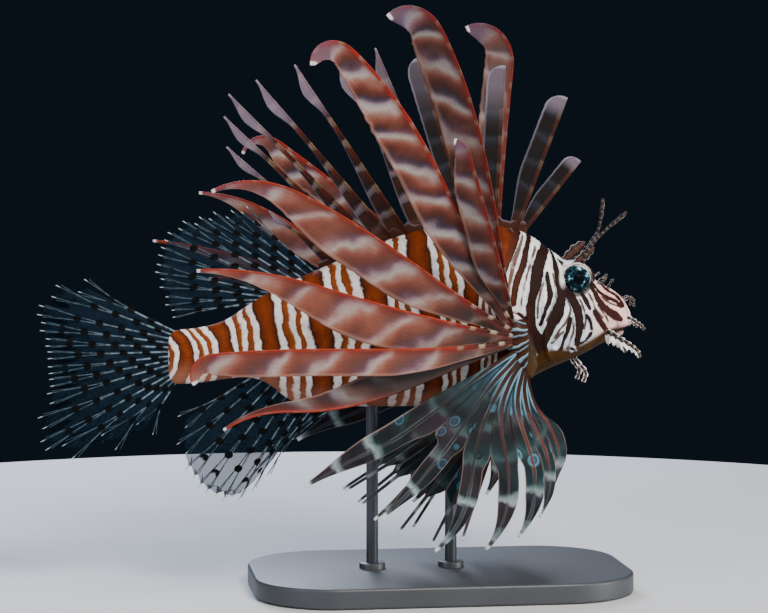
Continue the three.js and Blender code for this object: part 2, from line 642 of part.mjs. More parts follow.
// Display stand: a base with a collar round each rod, and rods cut to the belly
const corner = base.corner;
const [farX, farY] = [base.length / 2 - corner, base.width / 2 - corner];
const baseOutline = new THREE.Shape();
[[1, 1, 0], [-1, 1, 1], [-1, -1, 2], [1, -1, 3]].forEach(([sideX, sideY, quarter]) => {
  baseOutline.absarc(
    sideX * farX,
    sideY * farY,
    corner - base.edge,
    (quarter * Math.PI) / 2,
    ((quarter + 1) * Math.PI) / 2,
    false,
  );
});
const cylinder = (radius, low, high, x) => geometrySolid(
  new THREE.CylinderGeometry(radius, radius, high - low, 14).rotateX(Math.PI / 2)
    .translate(x, 0, (low + high) / 2),
);
let baseSolid = geometrySolid(new THREE.ExtrudeGeometry(baseOutline, {
  depth: base.height - 2 * base.edge,
  bevelThickness: base.edge,
  bevelSize: base.edge,
  bevelSegments: 1,
  curveSegments: 4,
}).translate(0, 0, base.edge));
Object.entries(rodPlaces).forEach(([name, x]) => {
  const foot = base.height - rod.sunk;
  baseSolid = baseSolid.add(cylinder(rod.collar, foot, base.height + rod.collarHeight, x))
    .subtract(cylinder(rod.radius + seam, foot - seam, base.height + rod.collarHeight + 1, x));
  add(name, cylinder(rod.radius, foot, eye.z, x).subtract(clearOfBody), finishes.stand);
});
add('stand_base', baseSolid, finishes.stand);

export default group;
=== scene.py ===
import math

import bpy
import bmesh
import numpy as np
from mathutils import Matrix, Vector


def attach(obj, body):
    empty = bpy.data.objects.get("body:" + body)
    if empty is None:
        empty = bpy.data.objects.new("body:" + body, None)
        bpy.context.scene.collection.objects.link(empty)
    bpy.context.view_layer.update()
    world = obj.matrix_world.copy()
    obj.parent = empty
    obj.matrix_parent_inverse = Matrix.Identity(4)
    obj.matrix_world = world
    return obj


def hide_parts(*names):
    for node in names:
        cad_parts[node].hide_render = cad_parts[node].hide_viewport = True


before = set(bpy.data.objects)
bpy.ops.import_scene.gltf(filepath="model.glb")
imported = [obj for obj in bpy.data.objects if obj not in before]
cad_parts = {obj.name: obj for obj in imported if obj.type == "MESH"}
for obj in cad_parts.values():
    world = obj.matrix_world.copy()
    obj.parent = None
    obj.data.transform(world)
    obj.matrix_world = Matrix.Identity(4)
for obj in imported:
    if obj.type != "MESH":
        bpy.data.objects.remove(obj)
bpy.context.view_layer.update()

# Red lionfish, life size, on a display stand. Places are in millimetres and become metres where
# a mesh is placed. +X is the way the fish swims, -Y its right side, +Z up.
mm = 0.001


def lerp(low, high, t):
    return low + (high - low) * t


def eased(low, high, value):
    t = np.clip((value - low) / (high - low), 0, 1)
    return t * t * (3 - 2 * t)


def unit(vectors):
    vectors = np.asarray(vectors, float)
    return vectors / np.maximum(np.linalg.norm(vectors, axis=-1, keepdims=True), 1e-9)


def inPlane(heading):
    return np.array([math.cos(math.radians(heading)), 0, math.sin(math.radians(heading))])


def circleTurns(sides):
    return np.arange(sides) / sides * 2 * math.pi


def deselectAll():
    if bpy.context.object and bpy.context.object.mode != "OBJECT":
        bpy.ops.object.mode_set(mode="OBJECT")
    bpy.ops.object.select_all(action="DESELECT")


def makeActive(piece):
    deselectAll()
    piece.select_set(True)
    bpy.context.view_layer.objects.active = piece


def joinPieces(name, pieces):
    makeActive(pieces[0])
    for piece in pieces:
        piece.select_set(True)
    if len(pieces) > 1:
        bpy.ops.object.join()
    joined = bpy.context.object
    joined.name = name
    joined.data.name = name
    return joined


def applyModifier(piece, kind, **settings):
    makeActive(piece)
    modifier = piece.modifiers.new(kind.title(), kind)
    for setting, value in settings.items():
        setattr(modifier, setting, value)
    bpy.ops.object.modifier_apply(modifier=modifier.name)


def addShape(name, primitive, **settings):
    deselectAll()
    primitive(**settings)
    shape = bpy.context.object
    shape.name = name
    return shape


# A closed profile pulled along ring by ring. Each mark is a number kept at every point.
def sweepRings(name, rings, marks=None):
    size = len(rings), len(rings[0])
    marks = {key: np.broadcast_to(np.asarray(value, float), size) for key, value in (marks or {}).items()}
    piece = addShape(name, bpy.ops.mesh.primitive_circle_add, vertices=size[1], radius=mm)
    bpy.ops.object.mode_set(mode="EDIT")
    mesh = bmesh.from_edit_mesh(piece.data)
    for layer in ("order", "ring"):
        mesh.verts.layers.int.new(layer)
    for key in marks:
        mesh.verts.layers.float.new(key)
    order = mesh.verts.layers.int["order"]
    for place, vert in enumerate(mesh.verts):
        vert[order] = place
    for row, ring in enumerate(rings):
        if row > 0:
            bpy.ops.mesh.extrude_region_move()
        mesh = bmesh.from_edit_mesh(piece.data)
        order, level = (mesh.verts.layers.int[layer] for layer in ("order", "ring"))
        layers = [(mesh.verts.layers.float[key], values[row]) for key, values in marks.items()]
        for vert in mesh.verts:
            if vert.select:
                place = vert[order]
                vert[level] = row
                vert.co = ring[place] * mm
                for layer, values in layers:
                    vert[layer] = values[place]
    # Close the last ring, then the first
    bpy.ops.mesh.edge_face_add()
    mesh = bmesh.from_edit_mesh(piece.data)
    level = mesh.verts.layers.int["ring"]
    for part in (*mesh.faces, *mesh.edges):
        part.select = False
    for vert in mesh.verts:
        vert.select = vert[level] == 0
    mesh.select_flush_mode()
    for edge in mesh.edges:
        edge.select = all(vert[level] == 0 for vert in edge.verts)
    bpy.ops.mesh.edge_face_add()
    bpy.ops.mesh.select_all(action="SELECT")
    bpy.ops.mesh.normals_make_consistent(inside=False)
    bpy.ops.object.mode_set(mode="OBJECT")
    bpy.ops.object.shade_smooth()
    return piece


# A thin sheet from rows of places, each with a way out of the sheet and a half thickness
def sweepSheet(name, places, outs, halves, marks):
    size = places.shape[:2]
    offset = outs * np.broadcast_to(halves, size)[..., None]
    rings = np.concatenate([places + offset, (places - offset)[:, ::-1]], axis=1)
    marks = {key: np.broadcast_to(value, size) for key, value in marks.items()}
    marks = {key: np.concatenate([values, values[:, ::-1]], axis=1) for key, values in marks.items()}
    return sweepRings(name, rings, marks)


# A round rod along a line of places, with one radius or a radius at each
def sweepTube(name, places, radii, sides=8, marks=None):
    places = np.asarray(places, float)
    along = unit(np.gradient(places, axis=0))
    side = unit(np.cross(along, [0.02, 1, 0.03]))
    lift = np.cross(along, side)
    turns = circleTurns(sides)
    rings = [place + radius * (np.outer(np.cos(turns), s) + np.outer(np.sin(turns), l))
             for place, radius, s, l in zip(places, np.broadcast_to(radii, len(places)), side, lift)]
    length = np.concatenate([[0], np.cumsum(np.linalg.norm(np.diff(places, axis=0), axis=1))])
    way = np.linspace(0, 1, len(places))
    return sweepRings(name, rings, {"way": way[:, None], "along": length[:, None], **(marks or {})})


def setMark(piece, name, values):
    layer = piece.data.attributes.new(name, "FLOAT", "POINT")
    layer.data.foreach_set("value", np.asarray(values, np.float32))


# A smooth line through a few places
def smoothLine(places, count):
    places = np.asarray(places, float)
    padded = np.concatenate([[2 * places[0] - places[1]], places, [2 * places[-1] - places[-2]]])
    line = []
    for t in np.linspace(0, len(places) - 1, count):
        k = min(int(t), len(places) - 2)
        f = t - k
        a, b, c, d = padded[k:k + 4]
        line.append(0.5 * (2 * b + (c - a) * f + (2 * a - 5 * b + 4 * c - d) * f ** 2
                           + (3 * b - a - 3 * c + d) * f ** 3))
    return np.array(line)


# The body's section: back, belly, half width and flatness at any place along it
body = {
    "stations": [
        (-134, 131.0, 104.0, 3.4), (-120, 132.4, 104.8, 4.9), (-108, 135.6, 106.4, 6.6),
        (-96, 143.2, 107.2, 8.8), (-86, 149.4, 103.6, 11.0), (-75, 154.6, 95.4, 13.2),
        (-58, 162.0, 92.4, 16.2), (-40, 169.6, 91.8, 18.8), (-20, 177.2, 91.6, 21.0),
        (0, 181.8, 91.6, 22.6), (18, 182.8, 93.8, 23.8), (34, 181.2, 98.6, 24.4),
        (46, 177.0, 105.2, 24.2), (56, 169.6, 110.4, 23.0), (66, 163.4, 114.4, 20.4),
        (74, 158.0, 117.8, 16.8), (82, 152.6, 122.0, 12.8), (89, 148.8, 124.4, 9.6),
        (94, 144.2, 126.8, 7.2), (97.5, 138.2, 130.2, 4.0),
    ],
    "tailEnd": -132,
    "tailCap": [(-136, 0.55, 0.15), (-135.4, 0.78, 0.45), (-134.2, 0.9, 0.7), (-133, 0.97, 0.9)],
    "snoutTip": 97.5, "sides": 48,
    "flatTrunk": 0.9, "flatHead": 0.62, "flatFrom": 40, "flatTo": 62,
}


def bodySection(x):
    stations = np.array(body["stations"])
    last = len(stations) - 1
    k = int(np.clip(np.searchsorted(stations[:, 0], x) - 1, 0, last - 1))
    before, low, high, after = stations[[max(k - 1, 0), k, k + 1, min(k + 2, last)]]
    span = high[0] - low[0]
    t = np.clip((x - low[0]) / span, 0, 1)
    leave = (high - before) / (high[0] - before[0]) * span
    arrive = (after - low) / (after[0] - low[0]) * span
    values = ((2 * t ** 3 - 3 * t ** 2 + 1) * low + (t ** 3 - 2 * t ** 2 + t) * leave
              + (3 * t ** 2 - 2 * t ** 3) * high + (t ** 3 - t ** 2) * arrive)
    top, bottom, half = values[1:]
    flat = lerp(body["flatTrunk"], body["flatHead"], eased(body["flatFrom"], body["flatTo"], x))
    return top, bottom, half, flat


def skinPoint(x, z, flank, proud=0.0):
    top, bottom, half, flat = bodySection(x)
    level = np.clip((z - (top + bottom) / 2) / ((top - bottom) / 2), -1, 1)
    return np.array([x, flank * (half * math.sqrt(1 - level ** 2) ** flat + proud), z])


# The material that newMaterial started last. Every node made after it goes there.
paint = {}


def colour(code):
    values = [int(code[i:i + 2], 16) / 255 for i in (1, 3, 5)]
    return (*[v / 12.92 if v <= 0.04045 else ((v + 0.055) / 1.055) ** 2.4 for v in values], 1.0)


def newMaterial(name, roughness, specular=0.5, coat=(0, 0.03), metallic=0):
    material = bpy.data.materials.new(name)
    material.use_nodes = True
    shader = material.node_tree.nodes["Principled BSDF"]
    for socket, value in (("Roughness", roughness), ("Specular IOR Level", specular), ("Metallic", metallic),
                          ("Coat Weight", coat[0]), ("Coat Roughness", coat[1])):
        shader.inputs[socket].default_value = value
    paint.update(material=material, tree=material.node_tree, shader=shader)


def addNode(kind, sockets=None, **settings):
    made = paint["tree"].nodes.new("ShaderNode" + kind)
    for setting, value in settings.items():
        setattr(made, setting, value)
    for place, value in (sockets or {}).items():
        if isinstance(value, bpy.types.NodeSocket):
            paint["tree"].links.new(value, made.inputs[place])
        else:
            made.inputs[place].default_value = colour(value) if isinstance(value, str) else value
    return made


def maths(operation, first, *others):
    for other in others:
        first = addNode("Math", {0: first, 1: other}, operation=operation).outputs[0]
    return first


def times(*values):
    return maths("MULTIPLY", *values)


def plus(*values):
    return maths("ADD", *values)


def minus(value, less):
    return maths("SUBTRACT", value, less)


def single(operation, value):
    return addNode("Math", {0: value}, operation=operation).outputs[0]


def fract(value):
    return single("FRACT", value)


# One colour over another, as much as the product of the amounts says
def over(under, top, *amounts):
    return addNode("Mix", {0: times(*amounts), 6: under, 7: top}, data_type="RGBA").outputs[2]


def shaded(shade, by):
    made = addNode("Mix", {0: 1.0, 6: shade, 7: by}, data_type="RGBA", blend_type="MULTIPLY")
    return made.outputs[2]


def ramp(factor, stops):
    made = addNode("ValToRGB", {0: factor})
    elements = made.color_ramp.elements
    while len(elements) < len(stops):
        elements.new(0.5)
    for element, (place, shade) in zip(elements, stops):
        element.position = place
        element.color = colour(shade) if isinstance(shade, str) else (shade, shade, shade, 1)
    return made.outputs[0]


def between(value, fromLow, fromHigh, toLow=0.0, toHigh=1.0):
    sockets = {0: value, 1: fromLow, 2: fromHigh, 3: toLow, 4: toHigh}
    return addNode("MapRange", sockets, interpolation_type="SMOOTHSTEP").outputs[0]


def readMarks(names):
    return [addNode("Attribute", attribute_name=name).outputs["Fac"] for name in names.split()]


def objectPlace():
    return addNode("TexCoord").outputs["Object"]


def noise(scale, detail=2.0, roughness=0.5):
    sockets = {"Vector": objectPlace(), "Scale": scale, "Detail": detail, "Roughness": roughness}
    return addNode("TexNoise", sockets).outputs["Fac"]


def plug(socket, value):
    paint["tree"].links.new(value, paint["shader"].inputs[socket])


# The end of a material: its colour, and a bump where a height is given
def painted(shade, height=None, strength=0.3, distance=0.0003):
    plug("Base Color", shade)
    if height is not None:
        made = addNode("Bump", {"Height": height, "Strength": strength, "Distance": distance})
        plug("Normal", made.outputs[0])
    return paint["material"]


def finish(piece, material, slot, *nodes):
    piece.data.materials.clear()
    piece.data.materials.append(material)
    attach(piece, "root")
    if nodes:
        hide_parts(*nodes)


# Fin rays. Bend and sway turn a ray over its whole length, curl turns what lies past "since",
# splay leans it out of the middle plane.
def rayLine(root, ray, flank=1, steps=120):
    at = np.array(root, float)
    line = [at.copy()]
    for i in range(steps):
        t = (i + 0.5) / steps
        past = max(0, (t - ray.get("since", 0.8)) / (1 - ray.get("since", 0.8)))
        turn = (ray["heading"] + ray.get("bend", 0) * t + ray.get("sway", 0) * t ** 2
                + ray.get("curl", 0) * past ** 1.3)
        out = math.radians(lerp(*ray.get("splay", (0, 0)), t))
        step = inPlane(turn) * math.cos(out)
        step[1] = flank * math.sin(out)
        at = at + step * ray["length"] / steps
        line.append(at)
    return np.array(line)


def linePlaces(line, ts):
    ways = np.linspace(0, 1, len(line))
    return np.stack([np.interp(ts, ways, line[:, axis]) for axis in range(3)], axis=1)


def lineAlong(line, ts, near=0.015):
    low, high = np.clip(ts - near, 0, 1), np.clip(ts + near, 0, 1)
    return unit(linePlaces(line, high) - linePlaces(line, low))


bladeShapes = {
    "feather": lambda t, full, blunt: (
        lerp(0.16, 1, eased(0, 0.45, t)) * lerp(1, max(blunt, 0.05), eased(full - 0.1 * (blunt > 0), 1.02, t))
        * np.sqrt(1.03 - (blunt > 0) * np.clip((t - 0.94) / 0.06, 0, 1) ** 2)),
    "paddle": lambda t, full, blunt: (
        lerp(0.35, 1, eased(0, 0.5, t)) * np.sqrt(1.04 - np.clip((t - 0.9) / 0.1, 0, 1) ** 2)),
    "flag": lambda t, full, blunt: (
        lerp(1, 0.2, eased(0.1, 0.66, t)) + 0.4 * eased(0.72, 0.86, t) - 0.56 * eased(0.86, 1, t)),
}
# Across a free blade: share of the membrane, width in front of it, half thickness
bladeProfile = {
    "share": np.array([0, 0, 0, 0, 0, 0.2, 0.4, 0.6, 0.8, 0.95, 1]),
    "offset": np.array([-0.6, -0.35, 0.1, 0.6, 1.0, 1.0, 0.9, 0.9, 0.85, 0.8, 0.8]),
    "half": np.array([0.1, 0.55, 0.75, 0.5, 0.28, 0.24, 0.24, 0.22, 0.22, 0.2, 0.06]),
}


# A ray with membrane along one edge
def makeBlade(name, line, blade, number, rows=64, ripple=0.9, scallop=0.035):
    ts = 1 - (1 - np.linspace(0, 1, rows)) ** 1.2
    places, along = linePlaces(line, ts), lineAlong(line, ts)
    side = blade.get("side", 1)
    across = unit(np.cross([0, -side, 0], along))
    outs = unit(np.cross(across, along))
    length = blade["length"]
    reach = blade["width"] * bladeShapes[blade.get("shape", "feather")](
        ts, blade.get("full", 0.7), blade.get("blunt", 0))
    frayed = scallop * lerp(0.4, 1.6, eased(0.4, 0.75, ts))
    reach = reach * (1 - frayed * (1 + np.sin(ts * length * 2.1 + number) * np.sin(ts * length * 0.9)) / 2)
    share, offset, half = (bladeProfile[key] for key in ("share", "offset", "half"))
    wide = reach[:, None] * share + offset * lerp(1, 0.5, ts)[:, None]
    thick = half * lerp(blade.get("ridge", 1.5) / 1.5, 0.55, ts)[:, None]
    thick[:, 5:] = half[5:]
    wave = ripple * share ** 1.5 * (np.sin(ts * length / 9 + number * 1.7) * 0.6
                                   + np.sin(ts * length / 4.3 + number))[:, None] * 0.5
    grid = places[:, None] + across[:, None] * wide[..., None] + outs[:, None] * wave[..., None]
    marks = {"along": (ts * length)[:, None], "way": ts[:, None], "wide": wide, "share": share, "number": number}
    return sweepSheet(name, grid, outs[:, None], thick, marks)


# Rays of the breast fins: rows of the values that rayKeys names. A row may end early.
rayKeys = ("heading", "bend", "sway", "curl", "since", "length", "splay", "width", "full", "blunt", "side")
breast = {
    "top": np.array([33, 24.5, 136.5]), "bottom": np.array([41, 22, 110]), "lobe": (7, 5, 17),
    "right": [
        (109, -31, 52, 98, 0.83, 195, (36, 6), 17, 0.86, 0.62),
        (112, -2, -1, 60, 0.89, 118, (44, 16), 12, 0.84, 0.4),
        (129, -58, 79, 128, 0.86, 206.8, (38, 4), 18, 0.74, 0.4),
        (153, -40, 54, 41, 0.77, 190, (36, 2), 19, 0.6), (169, -15, 6, 23, 0.63, 177, (34, 0), 19, 0.5),
        (186, -36, 38, 120, 0.89, 191, (36, 4), 12, 0.88, 0.5),
        (191, 53, -90, 61, 0.78, 165, (32, 2), 14, 0.42, 0, -1),
    ],
    "left": [
        (82, 0, 0, 128, 0.76, 177, (30, 4), 15, 0.86, 0.62), (106, 6, 0, 90, 0.82, 149.8, (42, 20), 12, 0.75),
        (135, 10, 0, 119, 0.85, 177, (34, 4), 13, 0.75), (161, -20, 0, 38, 0.7, 176, (34, 2), 12, 0.7),
        (168, -9, 0, 16, 0.66, 190, (32, 0), 10, 0.6), (174, -13, 0, 29, 0.8, 160, (34, 6), 11, 0.6),
        (200, 4, 0, 10, 0.8, 126, (38, 8), 11, 0.6, 0, -1),
    ],
    "lower": [
        (200, 69, -90, 32, 0.73, 139, (36, 4)), (215, 31, 41, -66, 0.35, 114, (34, 0)),
        (219, 66, 4, -71, 0.61, 113, (36, -4)), (220, 90, 90, -170, 0.45, 104, (38, -8)),
        (236, 90, 90, -181, 0.4, 93, (42, -10)), (245, 90, 90, -184, 0.39, 81, (46, -12)),
        (259, 90, 61, -168, 0.37, 65, (50, -14)),
    ],
    "fanFrom": (50.5, 131.5), "ridges": 15, "ridgeSwell": 0.55, "leftShorter": 0.9, "web": 0.58,
    "flare": 4.6, "upperFlare": 8.0,
}


def breastLines(side):
    flank = -1 if side == "right" else 1
    shorter = 1 if side == "right" else breast["leftShorter"]
    free, lower = ([dict(zip(rayKeys, row)) for row in breast[part]] for part in (side, "lower"))
    rays = free + [{**ray, "length": ray["length"] * shorter} for ray in lower]
    lines = []
    for k, ray in enumerate(rays):
        root = lerp(breast["top"], breast["bottom"], k / (len(rays) - 1)) * [1, flank, 1]
        lines.append(rayLine(root, ray, flank))
    return rays, lines, flank


# Rays joined by a web: each ray is a vane that reaches half way to its neighbours as far as the
# web goes and has its own width past it
def makeVanes(name, rays, lines, web, flare, ridge, rows=44, ripple=0.5, membraneHalf=0.24):
    ts = np.linspace(0, 1, rows)
    shares = np.array([-1, -0.92, -0.7, -0.42, -0.14, 0, 0.14, 0.42, 0.7, 0.92, 1])
    last = len(lines) - 1
    vanes = []
    for k, line in enumerate(lines):
        places, along = linePlaces(line, ts), lineAlong(line, ts)
        near, far = (linePlaces(lines[j], ts) for j in (max(k - 1, 0), min(k + 1, last)))
        spread = far - near
        spread -= along * np.sum(spread * along, axis=1, keepdims=True)
        spacing = np.linalg.norm(spread, axis=1) / (1 if k in (0, last) else 2)
        across = unit(spread)
        outs = unit(np.cross(across, along))
        edges = []
        for side, neighbour in ((-1, k - 1), (1, k + 1)):
            joined = 0 <= neighbour <= last
            room = spacing / 2.2 if joined else 99
            own = places + across * (side * np.minimum(flare(ts, k, side), room))[:, None]
            if joined:
                middle = (places + linePlaces(lines[neighbour], ts)) / 2
                own = lerp(middle, own, eased(web * 0.93, web * 1.04, ts)[:, None])
            edges.append(own)
        towards = [lerp(places[:, None], edge[:, None], np.abs(shares)[:, None]) for edge in edges]
        grid = np.where(shares[:, None] < 0, *towards)
        wide = np.linalg.norm(grid - places[:, None], axis=2) * np.sign(shares)
        rayHalf = lerp(ridge / 2, 0.3, ts)[:, None]
        onRay = np.exp(-(wide / lerp(0.9, 0.5, ts)[:, None]) ** 2)
        thick = membraneHalf + (rayHalf - membraneHalf) * onRay
        thick[:, [0, -1]] = 0.2
        # The points beside the ray stay close to it, so that it stands out as a rib
        for column, edge in ((4, edges[0]), (6, edges[1])):
            step = np.minimum(lerp(0.75, 0.45, ts), np.linalg.norm(edge - places, axis=1) * 0.4)
            grid[:, column] = places + unit(edge - places) * step[:, None]
            thick[:, column] = rayHalf[:, 0] * 0.62
        wave = ripple * (1 - np.abs(shares)) * np.abs(shares) * 3 * np.sin(ts * 26 + k * 2)[:, None]
        grid = grid + outs[:, None] * wave[..., None]
        marks = {"along": (ts * rays[k]["length"])[:, None], "way": ts[:, None], "share": shares, "number": k,
                 "wide": np.linalg.norm(grid - places[:, None], axis=2) * np.sign(shares)}
        vanes.append(sweepSheet(f"{name}{k}", grid, outs[:, None], thick, marks))
    return joinPieces(name, vanes)


def breastFlare(ts, k, side):
    free = k == 0 and side < 0
    swell = eased(0.1 if free else 0.34, 0.6, ts) * lerp(1, 0.06, eased(0.7, 1, ts))
    return (breast["upperFlare"] if free else breast["flare"]) * swell + 0.6


def makeLobe(name, flank):
    lean = math.atan2(breast["bottom"][0] - breast["top"][0], breast["top"][2] - breast["bottom"][2])
    lobe = addShape(name, bpy.ops.mesh.primitive_uv_sphere_add, radius=1, segments=32, ring_count=20)
    middle = (breast["top"] + breast["bottom"]) / 2 * [1, flank, 1]
    place = Matrix.Translation(Vector(middle * mm)) @ Matrix.Rotation(-lean, 4, "Y") @ Matrix.Diagonal(
        (*[size * mm for size in breast["lobe"]], 1))
    lobe.data.transform(place)
    # Ridges where the rays start, fanned out of the place where the fin meets the gill
    fromX, fromZ = breast["fanFrom"]
    for vert in lobe.data.vertices:
        x, out, z = vert.co / mm
        turn = math.atan2(fromZ - z, fromX - x)
        away = math.hypot(fromZ - z, fromX - x)
        swell = breast["ridgeSwell"] * math.cos(turn * breast["ridges"]) * float(eased(4, 12, away))
        taper = 1 - 0.3 * float(eased(8, 26, away))
        vert.co.y = flank * ((abs(out) - middle[1] * flank) * taper + middle[1] * flank + swell) * mm
        vert.co.x += 0.5 * math.sin(z * 0.9) * mm * float(eased(6, 14, away))
    bpy.ops.object.shade_smooth()
    return lobe


# The marks of a fin: along its ray in millimetres, way from its root to its tip, wide across it,
# share of the way to its edge, number of the ray
def bladeMaterial():
    newMaterial("bladeSkin", roughness=0.62, specular=0.2, coat=(0.02, 0.25))
    wobble = noise(55, 2, 0.45)
    fine = noise(600, 4, 0.6)
    along, wide, share, number, way = readMarks("along wide share number way")
    pitch = between(number, 2.4, 3.0, 0.05, 0.038)
    cycle = fract(plus(times(along, pitch), times(wide, -0.045), times(number, 0.37), times(wobble, 1.1)))
    bands = ramp(cycle, [(0, "#4a1f17"), (0.14, "#653227"), (0.28, "#7b584e"), (0.42, "#928a86"),
        (0.54, "#7f757a"), (0.66, "#483748"), (0.76, "#291d2b"), (0.87, "#3a1812"), (1, "#4a1f17")])
    cloud = noise(38, 3, 0.6)
    bands = over(bands, "#74402f", between(cloud, 0.45, 0.68), 0.5)
    bands = over(bands, "#9a5c4c", between(number, 2.4, 3.2), 0.16)
    coldBands = ramp(cycle, [(0, "#2a1a1c"), (0.3, "#4a3c3e"), (0.44, "#5c5d5f"), (0.56, "#4a4648"),
        (0.74, "#20151c"), (1, "#2a1a1c")])
    bands = over(bands, coldBands, between(number, 5.2, 5.8), 0.75)
    root = ramp(cycle, [(0, "#140a08"), (0.3, "#2c130c"), (0.45, "#54443a"), (0.6, "#1d120f"),
        (1, "#140a08")])
    bands = over(bands, root, between(way, 0.36, 0.1))
    # Painted shade: the seventh blade lies in shadow, so its root half is painted near black
    paintedShadeNearRoot = times(between(number, 5.2, 5.8), between(way, 0.66, 0.42))
    ribs = single("SINE", plus(times(wide, 3.1), times(noise(120, 3), 9.0)))
    streaks = between(ribs, -1.0, 1.0, 0.96, 1.03)
    membrane = shaded(bands, streaks)
    cuts = fract(plus(times(along, 0.075), times(number, 0.3), times(wobble, 0.5)))
    segments = ramp(cuts, [(0, "#861d0c"), (0.55, "#731b0e"), (0.66, "#7d4234"), (0.8, "#87594c"),
        (0.9, "#752716"), (1, "#861d0c")])
    rootSegments = ramp(cuts, [(0, "#33110a"), (0.5, "#40170a"), (0.62, "#8d7b69"), (0.8, "#988877"),
        (0.9, "#33110a"), (1, "#33110a")])
    rayColour = over(segments, rootSegments, between(way, 0.26, 0.1))
    shade = over(membrane, "#66190b", between(wide, 4.6, 1.0), 0.5)
    plainRay = times(between(number, 2.4, 3.2), between(way, 0.2, 0.3))
    rayColour = over(rayColour, "#85280f", plainRay, 0.7)
    shade = over(shade, rayColour, between(plus(wide, times(plainRay, 0.5)), 1.7, 0.8))
    shade = over(shade, "#120a09", paintedShadeNearRoot, 0.93)
    shade = over(shade, "#a5796a", between(share, 0.84, 0.98), 0.45)
    dim = ramp(maths("DIVIDE", number, 8.0), [(0, 0.46), (0.12, 0.55), (0.25, 0.87), (0.375, 0.8),
        (0.5, 0.88), (0.625, 0.86), (0.8, 0.72)])
    shade = shaded(shade, dim)
    tips = times(between(way, 0.86, 0.97), between(number, 3.5, 2.5))
    shade = over(shade, "#54465c", tips, 0.5)
    shade = over(shade, "#d6cfd2", between(way, 0.988, 0.995), between(wide, 4.0, 2.0))
    veins = fract(times(plus(along, times(wide, 0.6)), 0.8))
    height = plus(times(single("ABSOLUTE", minus(veins, 0.5)), 0.12), fine, times(ribs, 0.05))
    return painted(shade, height, 0.3, 0.0004)


def webMaterial():
    newMaterial("webSkin", roughness=0.66, specular=0.14, coat=(0.02, 0.15))
    along, wide, share, number, way = readMarks("along wide share number way")
    wobble = noise(90, 3, 0.6)
    aside = single("ABSOLUTE", wide)
    cycle = fract(plus(times(along, 0.052), times(number, 0.43), times(wobble, 0.6)))
    bands = ramp(cycle, [(0, "#03070a"), (0.26, "#081217"), (0.4, "#122225"), (0.52, "#263c3d"),
        (0.62, "#2c3a3c"), (0.72, "#16131d"), (0.84, "#0a090f"), (1, "#03070a")])
    tipBands = ramp(cycle, [(0, "#05080b"), (0.36, "#0b141a"), (0.46, "#566a6c"), (0.58, "#8a9a99"),
        (0.7, "#1d1a26"), (1, "#05080b")])
    bands = over("#060b0f", bands, between(noise(52, 2), 0.4, 0.56))
    bands = over(bands, tipBands, between(way, 0.6, 0.8))
    spotPlace = addNode("CombineXYZ", {0: times(along, 0.085), 1: times(wide, 0.085), 2: times(number, 7.3)})
    spots = addNode("TexVoronoi", {"Vector": spotPlace.outputs[0], "Scale": 1.0, "Randomness": 0.6})
    spotRing = ramp(spots.outputs["Distance"], [(0, "#0f3048"), (0.1, "#1a4d6c"), (0.16, "#0b2030"),
        (0.2, "#3f7183"), (0.25, "#33606c"), (0.3, "#05090b"), (0.34, "#05090b")])
    spotted = times(between(spots.outputs["Distance"], 0.35, 0.3), between(way, 0.24, 0.32),
        between(way, 0.74, 0.66))
    spotRing = shaded(spotRing, between(number, 2.4, 4.4, 0.45, 1.5))
    shade = over(bands, spotRing, spotted)
    mauve = noise(24, 2)
    shade = over(shade, "#30222a", between(mauve, 0.52, 0.66), 0.35)
    shade = over(shade, "#0d2a2f", between(mauve, 0.52, 0.38), 0.45)
    rayTone = over("#1d1716", over(tipBands, "#4a4548", 0.5), between(way, 0.55, 0.75))
    redRay = times(between(number, 2.6, 3.6), between(way, 0.26, 0.36), between(way, 0.72, 0.6))
    rayTone = over(rayTone, "#5e2318", redRay, 0.8)
    shade = over(shade, rayTone, between(aside, 0.95, 0.5), 0.8)
    line = times(between(aside, 0.6, 0.85), between(aside, 1.25, 0.95))
    line = times(line, between(noise(60, 2), 0.4, 0.65))
    shade = over(shade, "#6a828b", line, 0.28)
    rim = times(between(single("ABSOLUTE", share), 0.88, 0.99), between(way, 0.45, 0.6))
    shade = over(shade, "#84706c", rim, 0.5)
    foot = ramp(addNode("MapRange", {0: aside, 1: 0.0, 2: 3.4}).outputs[0],
        [(0, "#220c05"), (0.24, "#2f1409"), (0.3, "#080505"), (0.36, "#5f8496"), (0.56, "#3a6175"),
        (0.64, "#0b1317"), (0.84, "#10242e"), (1, "#31586a")])
    footEnd = minus(plus(way, times(wobble, 0.16)), times(number, 0.024))
    shade = over(shade, foot, between(footEnd, 0.36, 0.2))
    shade = over(shade, "#dfe6e8", between(way, 0.965, 0.99))
    return painted(shade, noise(700, 3), 0.3, 0.0003)


